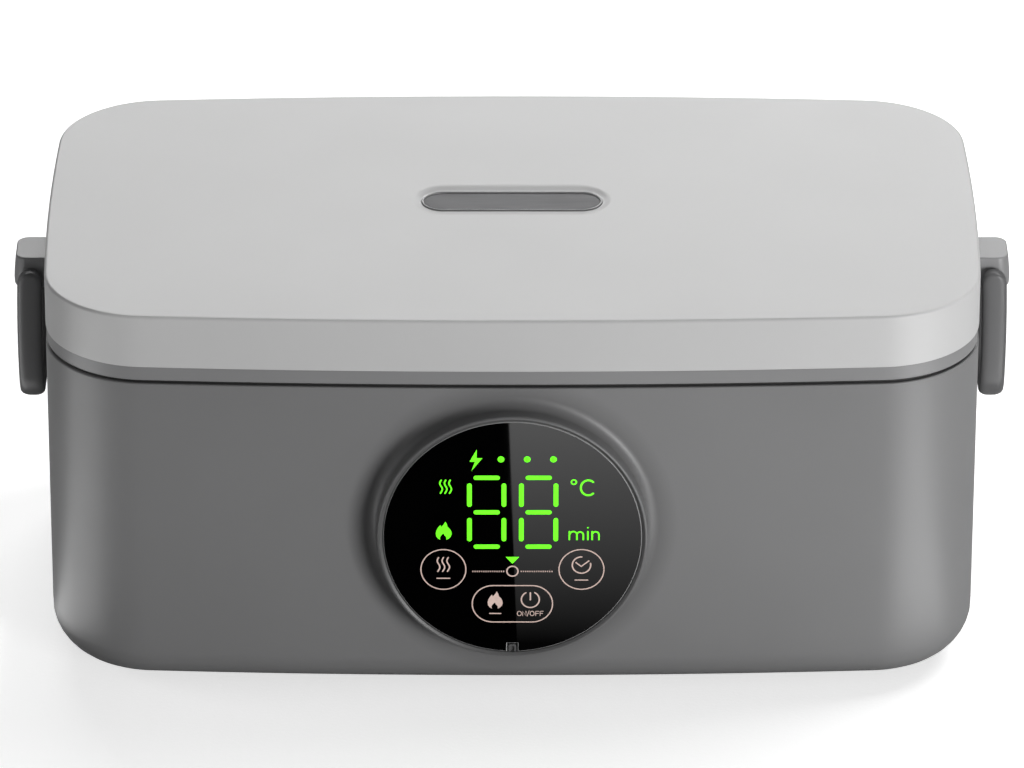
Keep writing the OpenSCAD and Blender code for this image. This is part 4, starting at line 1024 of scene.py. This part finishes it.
half_loop += [(LIMB_Y - BEND_R * (1 - cos(t)), BEND_R - FALL - BEND_R * sin(t), t, BAR_W / 2, BAR_T / 2)
              for t in (pi / 2 * k / 12 for k in range(13))]
half_loop += [(3.2 * (1 - k / 4), -FALL, pi / 2, BAR_W / 2, BAR_T / 2) for k in range(1, 5)]
whole_loop = half_loop + [(-y, z, pi - turn, w, t) for y, z, turn, w, t in half_loop[-2::-1]]


def squared(c):
    """Squares off a cosine or a sine, so that a ring has flat sides and round corners."""
    return copysign(abs(c) ** 0.55, c)


def slimmed(z):
    """Share of the bar's width that is left at a height, so that the crossbar ends in a round edge."""
    rise = min(1.0, max(0.04, (z - CROSS_Z + BAR_T / 2) / (BAR_W / 2)))
    return sqrt(1 - (1 - rise) ** 2)


for side, name in ((-1, "latch_left"), (1, "latch_right")):
    bm = bmesh.new()
    rings = []
    for y, z, turn, w, t in whole_loop:
        middle = side * (PIVOT_X - 4 * BOW * z / FALL * (1 + z / FALL))
        bar = []
        for a in (2 * pi * k / 48 for k in range(48)):
            height = PIVOT_Z + z - t * squared(sin(a)) * sin(turn)
            bar.append((middle + w * squared(cos(a)) * slimmed(height),
                        BACK + y + t * squared(sin(a)) * cos(turn), height))
        rings.append(bar)
    skin(bm, rings, capped=True)
    latch = finished(bm, name + "_loop", latch_grey)
    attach(latch, name)
    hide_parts(name)
finish_node("latch_pins", contact_steel)

# Food container
# A shallow tray pressed from stainless sheet, with round corners, a rolled rim and a fine satin
# grain, that drops into the tub.
pan_steel = worn_metal("stainless_steel", (0.56, 0.565, 0.57), (0.62, 0.625, 0.63), 0.26,
                       (0.05, 0.05, 1.0), 2500.0, 0.000004)
PAN_IN = 12.0
section = rolled_foot(8.0, PAN_IN, 35.0) + [(PAN_IN, 81.2)]
section += [(PAN_IN - 0.7 * sin(t), 82.8 - 1.2 * cos(t)) for t in (pi * k / 10 for k in range(11))]
section += [(PAN_IN + 0.5, 84.0), (PAN_IN + 0.6, 83.8)] + rolled_foot(7.4, PAN_IN + 0.6, 35.6)[::-1]
pan = lofted("pressed_container", pan_steel, [ring(*p) for p in section], capped=True)
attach(pan, "container")
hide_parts("food_container")

# Container lid
# The frosted clear lid of the container: a plate with a raised rim and a pad round its vent, and a
# plug wall below with a groove for the silicone ring. The grey vent plug snaps into the middle.
frosted, tree, shader, place = node_material("frosted_clear_plastic")
feed(tree, shader, {
    "Base Color": tint(tree, noise(tree, place, 18.0), (0.78, 0.81, 0.83), (0.84, 0.87, 0.89)),
    "Roughness": between(tree, noise(tree, place, 120.0), 0.28, 0.36),
    "Transmission Weight": 0.55, "IOR": 1.49, "Normal": bump(tree, noise(tree, place, 1800.0), 0.00001)})
bearing = [atan2(y, x) for x, y in outline(0.0)]


def disc(radius, z):
    """Round ring with a point for each point of the outline, so that the two join in clean quads."""
    return [(radius * cos(a), BACK + radius * sin(a), z) for a in bearing]


rings = [disc(3.0, 84.0), disc(3.0, 85.6), disc(10.5, 85.6), disc(11.2, 85.5), disc(12.4, 85.0),
         disc(13.0, 84.95)]
section = [(13.0, 84.95), (5.2, 84.95), (4.6, 85.0), (3.6, 85.45), (3.0, 85.6), (-0.3, 85.6),
           (-0.6, 85.5), (-0.7, 85.3), (-0.7, 84.1), (-0.6, 84.0), (1.6, 84.0), (1.6, 83.0), (2.4, 83.0),
           (2.4, 81.0), (1.6, 81.0), (1.6, 79.7), (1.8, 79.5), (3.6, 79.5), (3.8, 79.7), (3.8, 84.0)]
rings += [ring(PAN_IN + d, z) for d, z in section]
pan_lid = lofted("container_lid_plate", frosted, rings, 30.0, close=True)
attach(pan_lid, "container_lid")
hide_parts("container_lid")

vent_grey = moulded("vent_silicone", (0.44, 0.46, 0.48), (0.5, 0.52, 0.54), 0.5)
section = [(3.7, 82.0), (4.0, 82.2), (4.0, 83.7), (3.9, 83.8), (2.9, 83.8), (2.9, 85.6), (7.8, 85.6),
           (8.0, 85.75), (7.95, 86.1), (7.6, 86.5), (7.0, 86.72), (6.2, 86.8), (4.6, 86.8), (4.2, 86.7),
           (3.6, 86.25), (3.2, 86.15), (0.6, 86.15)]
vent = lofted("vent_button", vent_grey, [circle(0.0, BACK, r, z, 64) for r, z in section], capped=True)
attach(vent, "container_lid")
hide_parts("vent_plug")
